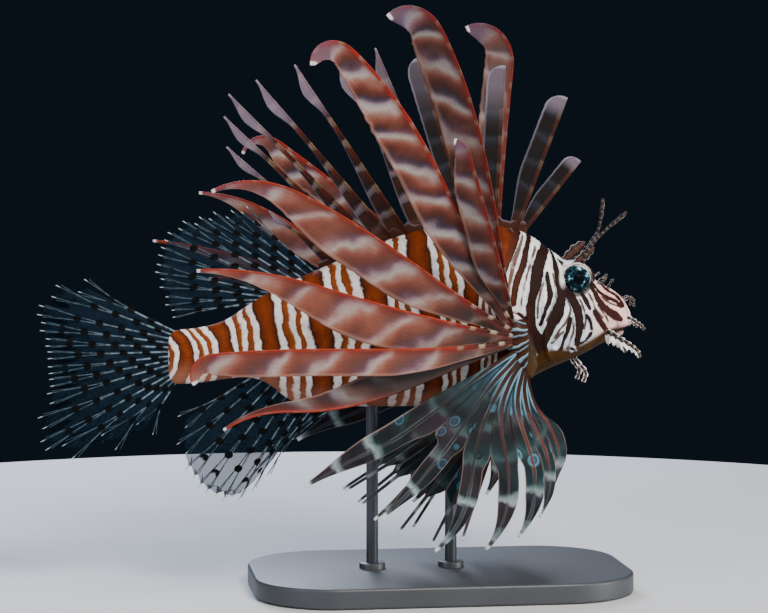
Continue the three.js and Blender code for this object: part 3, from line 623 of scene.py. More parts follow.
def lobeMaterial():
    newMaterial("lobeSkin", roughness=0.68, specular=0.14, coat=(0.02, 0.15))
    parts = addNode("SeparateXYZ", {0: objectPlace()}).outputs
    placeX, placeZ = parts[0], parts[2]
    fromX, fromZ = breast["fanFrom"]
    fan = maths("ARCTAN2", minus(fromZ * mm, placeZ), minus(fromX * mm, placeX))
    warp = noise(75, 3)
    cycle = fract(plus(times(fan, 2.4), times(warp, 0.9)))
    shade = ramp(cycle, [(0, "#230c05"), (0.3, "#3c190b"), (0.37, "#0c0403"), (0.42, "#8c9fa8"),
        (0.56, "#557585"), (0.62, "#0c0605"), (0.78, "#3a190b"), (0.83, "#0c0403"), (0.87, "#7790a0"),
        (0.94, "#46626f"), (1, "#230c05")])
    strap = plus(times(placeX, 1000.0), times(minus(warp, 0.5), 2.0))
    shade = over(shade, over("#250d07", "#3a2810", between(placeZ, 0.126, 0.116)),
        between(strap, 39.6, 40.4))
    pale = plus(times(placeZ, 1000.0), times(warp, 4.0))
    shade = over(shade, "#e8d9d4", between(pale, 138.4, 139.4), 0.85)
    shade = shaded(shade, ramp(noise(260, 3), [(0.3, 0.7), (0.6, 1.0)]))
    return painted(shade, noise(800, 3), 0.4, 0.0004)


lobeSkin = lobeMaterial()
bladeSkin = bladeMaterial()
webSkin = webMaterial()
for side in ("right", "left"):
    rays, lines, flank = breastLines(side)
    free = len(breast[side])
    blades = [makeBlade(f"blade{k}", lines[k], rays[k], k) for k in range(free)]
    lobe = makeLobe(f"breastLobe{side.title()}", flank)
    finish(lobe, lobeSkin, "blade")
    finish(joinPieces(f"breastBlades{side.title()}", blades), bladeSkin, "blade",
           f"pectoral_{side}_upper", f"pectoral_{side}_middle")
    web = makeVanes(f"breastWeb{side.title()}", rays[free:], lines[free:], breast["web"], breastFlare, 1.5)
    finish(web, webSkin, "blade", f"pectoral_{side}_lower")
print("breast fins made")

# Belly fins
pelvic = {"root": (30, 9, 99), "splay": (16, 11), "web": 0.72,
          "rays": [(209, 96), (215, 95), (221, 94), (229, 91), (240, 87), (249, 79)]}
for side, flank in (("right", -1), ("left", 1)):
    rays = [dict(heading=heading, length=length, splay=pelvic["splay"]) for heading, length in pelvic["rays"]]
    lines = [rayLine((pelvic["root"][0] + k * 0.9, flank * pelvic["root"][1], pelvic["root"][2]), ray, flank)
             for k, ray in enumerate(rays)]
    fin = makeVanes(f"pelvicFin{side.title()}", rays, lines, pelvic["web"],
                    lambda ts, k, edge: 1.2 * lerp(1, 0.3, ts) + 0.3, 1.4)
    finish(fin, webSkin, "clear_fin", f"pelvic_fin_{side}")
print("belly fins made")


# Back spines, each with its flag or paddle behind it, and the low web along their feet
back = {
    "ridge": 2.2, "sunk": 5, "footHeight": 6, "footSunk": 3, "footFrom": 44.5, "footSplit": 8.55, "footTo": -61,
    "front": [(43, 51, 46, 7), (39.5, 69, 71, 9), (29, 87, 80, 8.5), (21.5, 100, 76, 7.5),
              (15.5, 107.5, 87, 7.5)],
    "rear": [(6, 113.5, 96, 8), (-4, 119, 97, 8.5), (-16, 124, 101, 7.5), (-23.5, 131, 104, 7),
             (-31, 135, 105, 6.5), (-38, 136.5, 96, 6), (-44.5, 139, 82, 5), (-52, 143, 42, 4)],
}


def footWeb(name, fromX, toX, spines, rows=60):
    xs = np.linspace(fromX, toX, rows)
    nearest = np.min(np.abs(xs[:, None] - [spine[0] for spine in spines]), axis=1)
    backs = np.array([bodySection(x)[0] for x in xs])
    height = back["footHeight"] - 0.9 * np.minimum(nearest, 3)
    shares = np.array([0, 0.4, 0.75, 1])
    levels = backs[:, None] - back["footSunk"] + (height[:, None] + back["footSunk"]) * shares
    grid = np.stack([np.repeat(xs[:, None], len(shares), axis=1), np.zeros(levels.shape), levels], axis=2)
    marks = {"along": (xs - toX)[:, None], "way": 0.02, "wide": 5, "share": shares, "number": 20}
    return sweepSheet(name, grid, np.array([0, 1, 0]), [0.5, 0.4, 0.3, 0.18], marks)


def spineMaterial():
    newMaterial("spineSkin", roughness=0.66, specular=0.14, coat=(0.02, 0.2))
    along, wide, share, number, way = readMarks("along wide share number way")
    wobble = noise(110, 3, 0.6)
    fine = noise(700, 3, 0.6)
    cycle = fract(plus(times(along, 0.075), times(number, 0.43), times(wobble, 0.5)))
    bands = ramp(cycle, [(0, "#0a0505"), (0.4, "#130906"), (0.5, "#0e0d15"), (0.6, "#1a1c27"),
        (0.7, "#24242e"), (0.8, "#15151e"), (0.88, "#0a070a"), (1, "#0a0505")])
    warmBands = ramp(cycle, [(0, "#1c0b07"), (0.4, "#30130c"), (0.5, "#1b1014"), (0.58, "#4c4146"),
        (0.72, "#625357"), (0.82, "#2c2229"), (0.9, "#150a08"), (1, "#1c0b07")])
    bands = over(bands, warmBands, between(number, 4.5, 5.5))
    rodBands = ramp(cycle, [(0, "#2f1008"), (0.44, "#45180c"), (0.54, "#55402f"), (0.78, "#64503f"),
        (0.88, "#240b06"), (1, "#2f1008")])
    rodBands = over(rodBands, "#2a140c", between(number, 5.5, 4.5, 0.0, 0.6))
    streaks = between(single("SINE", plus(times(wide, 4.0), times(fine, 5.0))), -1.0, 1.0, 0.84, 1.06)
    shade = shaded(bands, streaks)
    shade = shaded(shade, between(number, 4.5, 5.5, 0.62, 0.8))
    shade = over(shade, rodBands, between(wide, 1.9, 1.1))
    onFlag = times(between(way, 0.68, 0.82), between(number, 4.5, 5.5))
    shade = over(shade, "#75697a", onFlag, 0.6)
    paddleFrom = between(number, 1.2, 1.8, 0.84, 0.6)
    onPaddle = times(between(way, paddleFrom, 0.95), between(number, 5.5, 4.5))
    paddleShare = ramp(maths("DIVIDE", number, 8.0), [(0.14, 0.75), (0.25, 0.6), (0.36, 0.3)])
    shade = over(shade, "#665c68", onPaddle, paddleShare)
    shade = over(shade, "#2e1104", between(way, 0.24, 0.06))
    rim = maths("MAXIMUM", between(share, 0.84, 0.97), between(way, 0.975, 0.99))
    shade = over(shade, "#7f7b8c", rim, between(way, 0.6, 0.92, 0.3, 0.6))
    return painted(shade, fine, 0.3, 0.0004)


spineSkin = spineMaterial()
number = 0
for part, fromX, toX, shape in (("front", back["footFrom"], back["footSplit"], "paddle"),
                                ("rear", back["footSplit"], back["footTo"], "flag")):
    blades = []
    for x, heading, length, width in back[part]:
        top = bodySection(x)[0]
        root = np.array([x, 0, top]) - inPlane(heading) * back["sunk"]
        blade = dict(heading=heading, length=length + back["sunk"], width=width, ridge=back["ridge"], shape=shape)
        blades.append(makeBlade(f"spine{number}", rayLine(root, blade), blade, number, 64, 0.35, 0.02))
        number += 1
    blades.append(footWeb(f"foot{part}", fromX, toX, back[part]))
    finish(joinPieces(f"backSpines{part.title()}", blades), spineSkin, "spine", f"spiny_dorsal_{part}")
print("back spines made")

# Clear fins: one thin membrane from the first ray to the last, and forked rays that stand proud
clearFins = {
    "softDorsal": dict(node="soft_dorsal_fin", start=(-64, 160), end=(-94, 144), rays=[
        (138, 46), (142, 49), (145, 54), (148, 57), (151, 61), (156, 63), (161, 61), (167, 58), (172, 52),
        (180, 46), (187, 40)]),
    "anal": dict(node="anal_fin", start=(-51, 93), end=(-93, 108), rays=[
        (212, 29), (222, 36), (232, 47), (236, 56), (238, 63), (236, 66), (232, 66), (227, 62), (220, 54),
        (212, 43)]),
    "tail": dict(node="caudal_fin", start=(-132, 130), end=(-132, 105), rays=[
        (153, 52), (159, 64), (167, 69.2), (172, 67), (177, 64), (181, 63), (186, 63), (190, 63), (195, 65),
        (202, 72.2), (209, 75), (215, 66), (223, 46), (236, 28)]),
}


# The forks of a ray: start and end along it, side, side of the twig, first and last radius
forks = [(0, 0.46, 0, 0, 0.56, 0.5), (0.4, 1, -1, 0, 0.38, 0.2), (0.4, 1, 1, 0, 0.38, 0.2),
         (0.74, 0.96, -1, -1, 0.26, 0.16), (0.74, 0.96, 1, 1, 0.26, 0.16)]
forkWidth, twigWidth = 0.312, 0.13


def makeClearFin(name, fin, rows=30, perGap=8, sunk=3.0):
    last = len(fin["rays"]) - 1
    roots, tips = [], []
    for k, (heading, length) in enumerate(fin["rays"]):
        x, z = (lerp(low, high, k / last) for low, high in zip(fin["start"], fin["end"]))
        roots.append(np.array([x, 0, z]) - inPlane(heading) * sunk)
        tips.append(roots[-1] + inPlane(heading) * (length + sunk))
    roots, tips = np.array(roots), np.array(tips)
    gaps = np.linspace(0, last, last * perGap + 1)
    nearest = np.round(gaps).astype(int)
    rootLine, tipLine = (np.stack([np.interp(gaps, range(last + 1), ends[:, axis]) for axis in range(3)], axis=1)
                         for ends in (roots, tips))
    reach = 0.985 - 0.05 * np.sin((gaps + 0.25) * 2 * math.pi) ** 2 - 0.04 * np.abs(gaps - nearest)
    ts = np.linspace(0, 1, rows)[:, None]
    shares = (ts * reach)[..., None]
    grid = lerp(rootLine[None], tipLine[None], shares)
    grid[..., 1] += 0.5 * np.sin(gaps * math.pi) ** 2 * np.sin(ts * 7 + 1) * ts
    fromRay = grid - lerp(roots[nearest][None], tips[nearest][None], shares)
    lengths = np.linalg.norm(tipLine - rootLine, axis=1)
    marks = {"along": ts * (lengths * reach), "way": ts, "aside": np.linalg.norm(fromRay[..., [0, 2]], axis=2),
             "onRay": 0, "number": nearest}
    pieces = [sweepSheet(name, grid, np.array([0, 1, 0]), lerp(0.34, 0.16, ts), marks)]
    for k, (root, tip) in enumerate(zip(roots, tips)):
        length = np.linalg.norm(tip - root)
        way = (tip - root) / length
        aside = np.array([-way[2], 0, way[0]])
        room = np.linalg.norm(tips[min(k + 1, last)] - tips[max(k - 1, 0)]) / (2 if 0 < k < last else 1)
        for start, end, side, twig, thick, thin in forks:
            ways = np.linspace(start, end, 18)
            spread = room * (side * forkWidth * eased(0.4, 1.25, ways) + twig * twigWidth * eased(0.7, 1.1, ways))
            line = root + np.outer(ways * length, way) + np.outer(spread, aside)
            marks = {"onRay": 1, "number": k, "way": ways[:, None], "along": (ways * length)[:, None],
                     "aside": np.abs(spread)[:, None]}
            pieces.append(sweepTube("ray", line, lerp(thick, thin, (ways - start) / (end - start)), 6, marks))
    return joinPieces(name, pieces)


def clearMaterial():
    newMaterial("clearFinSkin", roughness=0.55, specular=0.08)
    along, aside, number, way, onRay = readMarks("along aside number way onRay")
    fine = noise(160, 3)
    membrane = over("#06111b", "#12283a", fine)
    cycle = fract(plus(times(along, 0.09), times(number, 0.38)))
    lengthwise = times(minus(cycle, 0.5), 11.1)
    distance = single("SQRT", plus(maths("POWER", times(aside, 0.95), 2.0), times(lengthwise, lengthwise)))
    spotted = times(between(distance, 2.2, 1.75), between(way, 0.1, 0.16), between(way, 0.93, 0.88))
    rayTone = over("#74858f", "#384a56", between(way, 0.2, 0.9))
    rayTone = over(rayTone, "#1d2a34", between(noise(330, 2), 0.42, 0.6), 0.75)
    rayTone = over(rayTone, "#a9b8bf", between(way, 0.96, 0.98))
    shade = over(membrane, rayTone, onRay)
    shade = over(shade, "#020304", spotted)
    clear = maths("MAXIMUM", onRay, maths("MAXIMUM", times(spotted, 0.96), between(way, 0.0, 0.9, 0.7, 0.42)))
    plug("Alpha", clear)
    return painted(shade, fine, 0.2, 0.0002)


clearSkin = clearMaterial()
for name, fin in clearFins.items():
    finish(makeClearFin(f"{name}Fin", fin), clearSkin, "clear_fin", fin["node"])
print("clear fins made")

# Head and body: one skin with the eye sockets, mouth and nostrils cut into it
face = {
    "eye": np.array([67.1, 12.4, 155.8]), "eyeRadius": 7.3, "socket": 7.4,
    "orbitOut": 6.2, "orbit": (10.8, 8.6, 8.6), "lidRing": 7.6, "lidOut": 15.0, "lid": 0.7, "dent": 3.6,
    "mouthGap": [(84, 128.4), (104, 129.8), (104, 132.2)],
    "chinCut": [(93.4, 129.2), (94.6, 118), (104, 118), (104, 131)],
    "throatHole": ((88, 0, 130.2), (7.4, 5, 2)),
    "lip": 1.2, "lipSunk": 0.4, "lipSteps": 48,
    "upperLip": [(84, 130.1), (88, 131.6), (92, 132.5), (95, 133.1)], "upperFront": (96.4, 133.4),
    "lowerLip": [(84.6, 127), (87.5, 127.6), (90, 127.9)], "lowerFront": (92.6, 128.1),
    "rims": {"gillRim": 1.3, "cheekRim": 1.1},
    "gillRim": [(51.4, 166), (49, 152), (48.6, 136), (51, 120), (56.5, 113.6)],
    "cheekRim": [(60.5, 147), (57, 136), (57.4, 124), (63.5, 118.4)],
    "cheekSpines": [(57.2, 129.5), (56.6, 121.6), (65.8, 120.8)],
    "spineRadii": [1.3, 1.2, 0.4], "spineTip": (-3.4, 1.5, -0.6),
    "nostrils": [(82.4, 150.4), (77.6, 154)], "nostril": (0.9, 0.9, 0.9),
    "mouthX": (84, 97), "mouthZ": (128.4, 130.3), "mouthOpen": (0, 1),
    "voxel": 0.65, "squeezeFrom": 40, "squeeze": 0.5,
}


def roundBall(name, middle, sizes, segments=32):
    ball = addShape(name, bpy.ops.mesh.primitive_uv_sphere_add, radius=1,
                    segments=segments, ring_count=segments // 2 + 4)
    place = Matrix.Translation(Vector(middle) * mm)
    ball.data.transform(place @ Matrix.Diagonal((*[size * mm for size in sizes], 1)))
    return ball


def skinLine(name, places, radius, flank, sink=0.4, ends=0.6):
    line = smoothLine([skinPoint(x, z, flank, -sink) for x, z in places], 24)
    ways = np.linspace(0, 1, 24)
    return sweepTube(name, line, radius * lerp(ends, 1, np.sin(ways * math.pi) ** 0.5), 12)


def cutAway(piece, cutter):
    applyModifier(piece, "BOOLEAN", operation="DIFFERENCE", solver="EXACT", object=cutter)
    bpy.data.objects.remove(cutter, do_unlink=True)


def meshPlaces(piece):
    places = np.empty(len(piece.data.vertices) * 3)
    piece.data.vertices.foreach_get("co", places)
    return places.reshape(-1, 3)


def squeezeTrunk(piece, share):
    places = meshPlaces(piece)
    edge = face["squeezeFrom"] * mm
    behind = places[:, 0] < edge
    places[behind, 0] = edge + (places[behind, 0] - edge) * share
    piece.data.vertices.foreach_set("co", places.ravel())
    piece.data.update()


# The trunk is squeezed while the voxels are made, so that its faces come out longer
def remesh(piece, smoothing=0):
    squeezeTrunk(piece, face["squeeze"])
    applyModifier(piece, "REMESH", mode="VOXEL", voxel_size=face["voxel"] * mm, adaptivity=0)
    if smoothing:
        applyModifier(piece, "SMOOTH", factor=0.5, iterations=smoothing)
    squeezeTrunk(piece, 1 / face["squeeze"])


def bodyRings():
    sides = body["sides"]
    turns = circleTurns(sides)
    across, up = np.cos(turns), np.sin(turns)
    rings = []
    top, bottom, half, flat = bodySection(body["tailEnd"])
    for x, tall, wide in body["tailCap"]:
        rings.append(np.stack([np.full(sides, x), half * wide * np.sign(across) * np.abs(across) ** flat,
                               (top + bottom) / 2 + (top - bottom) / 2 * tall * up], axis=1))
    for x in np.concatenate([np.arange(body["tailEnd"], body["snoutTip"], 2.0), [body["snoutTip"]]]):
        top, bottom, half, flat = bodySection(x)
        heights = (top + bottom) / 2 + (top - bottom) / 2 * up
        out = half * np.abs(across) ** flat
        dent = face["dent"] * eased(12, 5, np.hypot(x - face["eye"][0], heights - face["eye"][2]))
        out = np.sign(across) * (out - np.minimum(dent, out / 2))
        rings.append(np.stack([np.full(sides, x), out, heights], axis=1))
    return rings


def makeSkin():
    pieces = [sweepRings("fishSkin", bodyRings())]
    for name in ("upper", "lower"):
        frontX, frontZ = face[f"{name}Front"]
        near, far = ([skinPoint(x, z, flank, -face["lipSunk"]) for x, z in face[f"{name}Lip"]]
                     for flank in (-1, 1))
        line = smoothLine(near + [np.array([frontX + 0.6, 0, frontZ])] + far[::-1], face["lipSteps"])
        pieces.append(sweepTube(f"{name}Lip", line, face["lip"], 12))
    eyeX, eyeOut, eyeZ = face["eye"]
    for flank in (-1, 1):
        pieces.append(roundBall("orbit", (eyeX, flank * face["orbitOut"], eyeZ), face["orbit"]))
        lid = addShape("lid", bpy.ops.mesh.primitive_torus_add, major_segments=48, minor_segments=12,
                       major_radius=face["lidRing"] * mm, minor_radius=face["lid"] * mm)
        lid.data.transform(Matrix.Translation((eyeX * mm, flank * face["lidOut"] * mm, eyeZ * mm))
                           @ Matrix.Rotation(math.pi / 2, 4, "X"))
        pieces.append(lid)
        for rim, radius in face["rims"].items():
            pieces.append(skinLine(rim, face[rim], radius, flank))
        for x, z in face["cheekSpines"]:
            at = skinPoint(x, z, flank, -0.6)
            tip = at + np.array(face["spineTip"]) * [1, flank, 1]
            pieces.append(sweepTube("cheekSpine", [at + (at - tip) * 0.3, at, tip], face["spineRadii"], 8))
    skin = joinPieces("fishSkin", pieces)
    remesh(skin)
    for flank in (-1, 1):
        cutAway(skin, roundBall("socket", (eyeX, flank * eyeOut, eyeZ), (face["socket"],) * 3, 48))
        for x, z in face["nostrils"]:
            cutAway(skin, roundBall("nostril", skinPoint(x, z, flank, 0.2), face["nostril"], 16))
    for gap in ("mouthGap", "chinCut"):
        cutAway(skin, sweepRings(gap, [np.array([(x, y, z) for x, z in face[gap]]) for y in (-20, 20)]))
    cutAway(skin, roundBall("throatHole", *face["throatHole"]))
    remesh(skin, 2)
    makeActive(skin)
    bpy.ops.object.shade_smooth()
    return skin


# Bars of the trunk, counted from the tail, with their middles at four heights
stripes = {
    "levels": [170, 155, 140, 125],
    "bars": [(-160, -158, -155, -153), (-139, -136, -134, -132.2), (-117.6, -115.2, -112.2, -109.6),
             (-92.6, -90.2, -87.9, -85.5), (-67.6, -65.2, -62.9, -60.5), (-38.6, -36.2, -33.9, -31.5),
             (-13, -10, -7.4, -5), (11, 12.5, 13.8, 15.4), (31.2, 26.8, 26.2, 28.5), (52.5, 47.5, 44.8, 46)],
    "tailBulge": 5.0,
}


# Bars and thin lines of the head, from the nape to the snout: place along the body, height and
# half width at each point
headStripes = {
    "bars": [
        [(37.4, 184.4, 4.4), (35.5, 179.1, 4.1), (32.9, 173.8, 3.9), (29.6, 166.6, 3.1), (27.2, 160, 2.9),
         (26.2, 151.5, 2.5),
         (27.5, 136, 2.5), (32, 118, 3), (38, 104, 3)],
        [(44.4, 177, 1), (41.9, 172.6, 1.2), (38.6, 163, 1.6), (35.4, 155.8, 1.4), (33.7, 149.1, 1.4),
         (33.2, 143.6, 1.1)],
        [(53, 173.1, 2.1), (48.9, 167.7, 2.6), (45.9, 160.6, 2.9), (44.6, 153.9, 2.6), (42.6, 146.6, 1.9),
         (41.8, 140.5, 2), (42.5, 132.5, 2.2), (44.5, 128.1, 2.5), (47.7, 122.5, 2.8), (52, 113, 2)],
        [(50.8, 159.2, 0.6), (51, 154.5, 1.1), (52, 147.8, 1.2), (49.9, 142.9, 1.1), (48.4, 138, 0.8),
         (46.8, 133.6, 0.6)],
        [(55, 169.5, 0.5), (55.4, 165.5, 0.8), (55.9, 160.4, 1.4), (56.4, 154.4, 1.4), (57.9, 148.9, 1.9),
         (57.1, 144.1, 2.4),
         (55, 138, 3), (52.2, 132.5, 2.4), (49.6, 126.2, 2.1), (48.2, 122.8, 1.9)],
        [(62.4, 136.3, 0.6), (61.5, 131.1, 0.9), (59.7, 126.1, 0.9), (57.9, 120, 0.6)],
        [(60.6, 151.3, 2.4), (63.3, 146.4, 2.4), (66.1, 140.8, 2.2), (67.2, 136.5, 2.1), (67.7, 130.9, 2),
         (67, 125.3, 1.5),
         (66.4, 119, 1.1)],
        [(71.5, 137.9, 0.6), (73.5, 134.4, 0.8), (74.7, 130.6, 0.5)],
        [(74.4, 128.4, 0.6), (71.9, 125.1, 0.6), (69, 123.4, 0.4)],
        [(69.2, 149, 0.8), (71.1, 145, 0.9), (73.4, 140.9, 0.8)],
        [(75.8, 139.6, 0.8), (78.6, 135.2, 1.2), (81.6, 131.3, 1.2), (83.6, 128.7, 0.9)],
        [(73.7, 153.9, 0.7), (76.7, 148.4, 1.1), (79.2, 143.7, 1.4), (83.5, 139.6, 1.6), (87.4, 137.1, 1.8),
         (91, 134.8, 1.1)],
        [(75.9, 153.2, 0.5), (79.2, 149, 0.6), (83.9, 145.8, 0.8), (87.9, 144.2, 0.7), (91.4, 141.3, 0.5)],
        [(80.6, 153.6, 0.5), (84.5, 149.3, 0.5), (87.9, 147.5, 0.5), (90.9, 144.7, 0.5), (92.7, 141.6, 0.5)],
        [(58.4, 169.4, 0.4), (60.4, 167, 0.8), (64, 165.3, 0.7), (69, 165, 0.6)],
        [(57.6, 165.6, 0.3), (59.6, 163.4, 0.6), (60.2, 161, 0.4)],
        [(71.2, 165.2, 0.8), (74.2, 162.4, 1.1), (76.2, 158.8, 1.0), (76.8, 155, 0.7)],
        [(33.4, 139.8, 0.8), (36.9, 137.6, 1.2), (39.7, 134.4, 1.6), (42.3, 129.4, 2.1), (45.3, 124.4, 2.2),
         (48.4, 120, 1.9)],
    ],
    "lines": [
        [(40.4, 177, 0.5), (37.3, 170.8, 0.9), (34.5, 165.4, 1.2), (32.9, 160, 0.9), (31.4, 154.5, 0.7),
         (30.7, 149.1, 0.5)],
        [(46.1, 171.9, 0.7), (42.4, 163.6, 0.5), (39.4, 155.1, 0.5), (37.6, 147.9, 0.5), (36.9, 143, 0.5)],
        [(48.7, 154.5, 0.4), (46.7, 149.1, 0.5), (45.5, 143, 0.5), (45.4, 136.8, 0.4)],
        [(53.8, 158.7, 0.4), (54.7, 152.6, 0.5), (54.7, 147.2, 0.5), (52.6, 141.1, 0.5), (49.9, 135.6, 0.4)],
        [(60.4, 145.9, 0.4), (62.7, 140.9, 0.5), (60.3, 134.8, 0.5), (56.6, 130.5, 0.5), (53.1, 124.3, 0.5)],
        [(67.8, 145.7, 0.4), (70, 140.7, 0.5), (71.1, 135.8, 0.5), (70.3, 130.8, 0.5)],
        [(63.7, 136.6, 0.4), (64.5, 131, 0.5), (63.3, 126, 0.6), (61.7, 121, 0.5)],
        [(73.1, 148.5, 0.4), (74.9, 144.8, 0.5), (76.5, 140.5, 0.5), (80.7, 136, 0.4)],
        [(80.4, 146.3, 0.4), (83.7, 143.9, 0.4), (87.1, 142.2, 0.4), (90.5, 141.4, 0.4)],
        [(78, 142.6, 0.4), (82.1, 137.2, 0.5), (83.9, 134, 0.5)],
        [(42.1, 149.1, 0.4), (40.1, 143, 0.4), (39.1, 138.7, 0.4)],
        [(59.2, 129.9, 0.5), (56.7, 128, 0.6), (53.8, 124.3, 0.5)],
        [(86.4, 135.6, 0.4), (88.6, 134.2, 0.6), (89.4, 132, 0.6)],
    ],
    "knobs": [(34.6, 141.4, 2.0), (55.4, 121.6, 1.5), (64.8, 120.8, 2.2), (71.6, 128.2, 1.0)],
}


# How far each place is from the nearest stripe, below 0 inside it
def stripeField(x, z, kind, furthest=5.0):
    field = np.full(len(x), furthest)
    for stripe in headStripes[kind]:
        stripe = smoothLine(stripe, len(stripe) * 3)
        for (startX, startZ, startHalf), (endX, endZ, endHalf) in zip(stripe[:-1], stripe[1:]):
            wayX, wayZ = endX - startX, endZ - startZ
            t = np.clip(((x - startX) * wayX + (z - startZ) * wayZ) / (wayX ** 2 + wayZ ** 2), 0, 1)
            away = np.hypot(x - startX - t * wayX, z - startZ - t * wayZ)
            field = np.minimum(field, away - lerp(startHalf, endHalf, t))
    return field


def markSkin(skin):
    x, y, z = (meshPlaces(skin) / mm).T
    bars = [np.interp(-z, [-level for level in stripes["levels"]], bar) for bar in stripes["bars"]]
    shifted = x - stripes["tailBulge"] * (1 - ((z - 117) / 13) ** 2) * eased(-98, -122, x)
    phase = sum(np.clip((shifted - low) / np.maximum(high - low, 3), 0, 1)
                for low, high in zip(bars[:-1], bars[1:]))
    stations = np.arange(-134, 99, 1.0)
    floor = np.interp(x, stations, [bodySection(station)[1] for station in stations])
    throatTop = lerp(13, 7, eased(48, 66, x))
    throat = eased(throatTop + 2, throatTop - 1.5, z - floor) * eased(20, 40, x) * eased(96, 86, x)
    fromGap = (np.abs(z - np.interp(x, face["mouthX"], face["mouthZ"]))
               - np.interp(x, face["mouthX"], face["mouthOpen"]))
    # Painted shade inside the mouth slit: 1 on the walls of the cut gap, 0 outside it
    insideMouth = eased(1, 0.2, fromGap) * eased(84, 87, x) * eased(13, 11, np.abs(y)) * eased(98, 96, x)
    first = np.array(headStripes["bars"][0])
    knobs = np.max([eased(size, size * 0.6, np.hypot(x - at, z - height))
                    for at, height, size in headStripes["knobs"]], axis=0)
    eyeX, eyeZ = face["eye"][[0, 2]]
    fromEye, outside = np.hypot(x - eyeX, z - eyeZ), eased(9, 12, np.abs(y))
    lidGlow = eased(2.2, 0.6, np.abs(fromEye - face["lidRing"] - 0.8)) * eased(-2, 3, z - eyeZ - 0.5 * (x - eyeX))
    underEye = np.maximum(eased(9.6, 8.4, fromEye) * eased(-2.5, -4.5, z - eyeZ - 0.3 * (x - eyeX)),
                          eased(8.7, 8.0, fromEye) * eased(-6, -2, x - eyeX))
    marks = {
        "phase": phase, "headness": eased(14, 46, x), "snoutness": eased(70, 84, x), "height": z,
        "ahead": x - np.interp(-z, -first[:, 1], first[:, 0]), "knobs": knobs, "throat": throat,
        "bars": stripeField(x, z, "bars"), "lines": stripeField(x, z, "lines"), "insideMouth": insideMouth,
        "belly": eased(14, 2, z - floor) * eased(30, 0, x), "underEye": underEye * outside,
        "lidGlow": lidGlow * outside,
    }
    for name, values in marks.items():
        setMark(skin, name, values)


def skinMaterial():
    newMaterial("fishSkin", roughness=0.7, specular=0.12)
    phase, headness, snoutness, throat, belly = readMarks("phase headness snoutness throat belly")
    insideMouth, lidGlow, underEye = readMarks("insideMouth lidGlow underEye")
    ahead, bars, lines, knobs, height = readMarks("ahead bars lines knobs height")
    warp = minus(noise(70, 3, 0.55), 0.5)
    ragged = minus(noise(420, 2, 0.6), 0.5)
    fine = noise(900, 3, 0.6)
    cycle = fract(plus(phase, times(warp, 0.3), times(ragged, 0.06)))
    trunk = ramp(cycle, [(0, "#803508"), (0.12, "#682806"), (0.18, "#2c0f03"), (0.215, "#f6efe8"),
        (0.31, "#f6f1ec"), (0.335, "#4f1e06"), (0.37, "#87400e"), (0.425, "#87400e"), (0.46, "#f0e2d4"),
        (0.54, "#f3ece6"), (0.565, "#4f1e06"), (0.59, "#87400e"), (0.655, "#7d360b"), (0.685, "#f3e8dc"),
        (0.785, "#f6f1ec"), (0.82, "#2c0f03"), (0.88, "#682806"), (1, "#803508")])
    edgeWarp = plus(times(ragged, 0.9), times(minus(noise(170, 2, 0.5), 0.5), 1.6))
    bars = minus(plus(bars, edgeWarp), 0.22)
    lines = minus(plus(lines, times(edgeWarp, 0.5)), 0.12)
    white = over("#f7f1ec", "#dbe2e6", noise(120, 3))
    # Painted shade: the head's whites turn bluish grey towards the bottom, from height 146 down to 122
    white = over(white, "#9fb6c0", between(height, 146.0, 122.0), 0.65)
    white = over(white, "#efc3b8", snoutness, 0.8)
    white = over(white, over("#8ea3ad", "#c98f84", snoutness), between(bars, 1.1, 0.2), 0.45)
    lineTone = over("#7d431a", "#3f2a22", headness)
    thin = times(between(lines, 0.25, -0.2), between(noise(150, 2), 0.3, 0.5, 0.35, 0.95))
    head = over(white, lineTone, thin)
    barTone = over("#742e08", "#200b06", headness)
    barTone = over(barTone, over("#2c0f03", "#080302", headness), between(bars, -0.9, -0.2))
    barTone = over(barTone, "#3a110a", snoutness, 0.6)
    head = over(head, barTone, between(bars, 0.2, -0.15))
    head = over(head, "#120806", underEye, 0.9)
    head = over(head, "#f2e6e0", knobs)
    trunk = over(trunk, shaded(trunk, "#755f55"), headness, 0.8)
    shade = over(trunk, head, between(ahead, -0.3, 0.3))
    shade = shaded(shade, ramp(noise(260, 3), [(0.3, 0.74), (0.6, 1.04)]))
    shade = shaded(shade, over("#fff2e6", "#e6eeff", noise(55, 2)))
    shade = over(shade, "#a8765f", belly, 0.4)
    olive = over("#150a00", "#4d2d00", noise(140, 3))
    shade = over(shade, olive, throat, minus(1.0, knobs))
    shade = over(shade, "#d9cfca", lidGlow, 0.7)
    # Painted shade: the walls of the mouth slit are painted dark brown
    shade = over(shade, "#1e0c09", insideMouth)
    sockets = {"Vector": objectPlace(), "Scale": 620, "Randomness": 0.6}
    scales = addNode("TexVoronoi", sockets, feature="F1")
    height = plus(times(scales.outputs["Distance"], -0.8), times(fine, 0.5))
    return painted(shade, height, 0.5, 0.0005)


fishSkin = skinMaterial()
skin = makeSkin()
markSkin(skin)
finish(skin, fishSkin, "skin", "head", "lower_jaw", "trunk", "tail_stem")
print("skin made,", len(skin.data.polygons), "faces")


# Eyes: a ball with its pole outwards, a slight lens, rings of colour by distance from the pole, and a painted
# highlight near its rim
def makeEye(name, flank):
    x, out, z = face["eye"]
    eye = addShape(name, bpy.ops.mesh.primitive_uv_sphere_add, radius=face["eyeRadius"] * mm,
                   segments=64, ring_count=48)
    eye.data.transform(Matrix.Rotation(-flank * math.pi / 2, 4, "X"))
    for vert in eye.data.vertices:
        radial = math.hypot(vert.co.x, vert.co.z) / mm
        if vert.co.y * flank > 0:
            vert.co.y *= 1 + 0.22 * float(eased(2.5, 5.5, radial)) - 0.04 * float(eased(4.5, 2, radial))
    setMark(eye, "radial", [math.hypot(vert.co.x, vert.co.z) / mm for vert in eye.data.vertices])
    setMark(eye, "turn", [math.atan2(vert.co.z, vert.co.x) for vert in eye.data.vertices])
    eye.data.transform(Matrix.Translation((x * mm, flank * out * mm, z * mm)))
    bpy.ops.object.shade_smooth()
    return eye


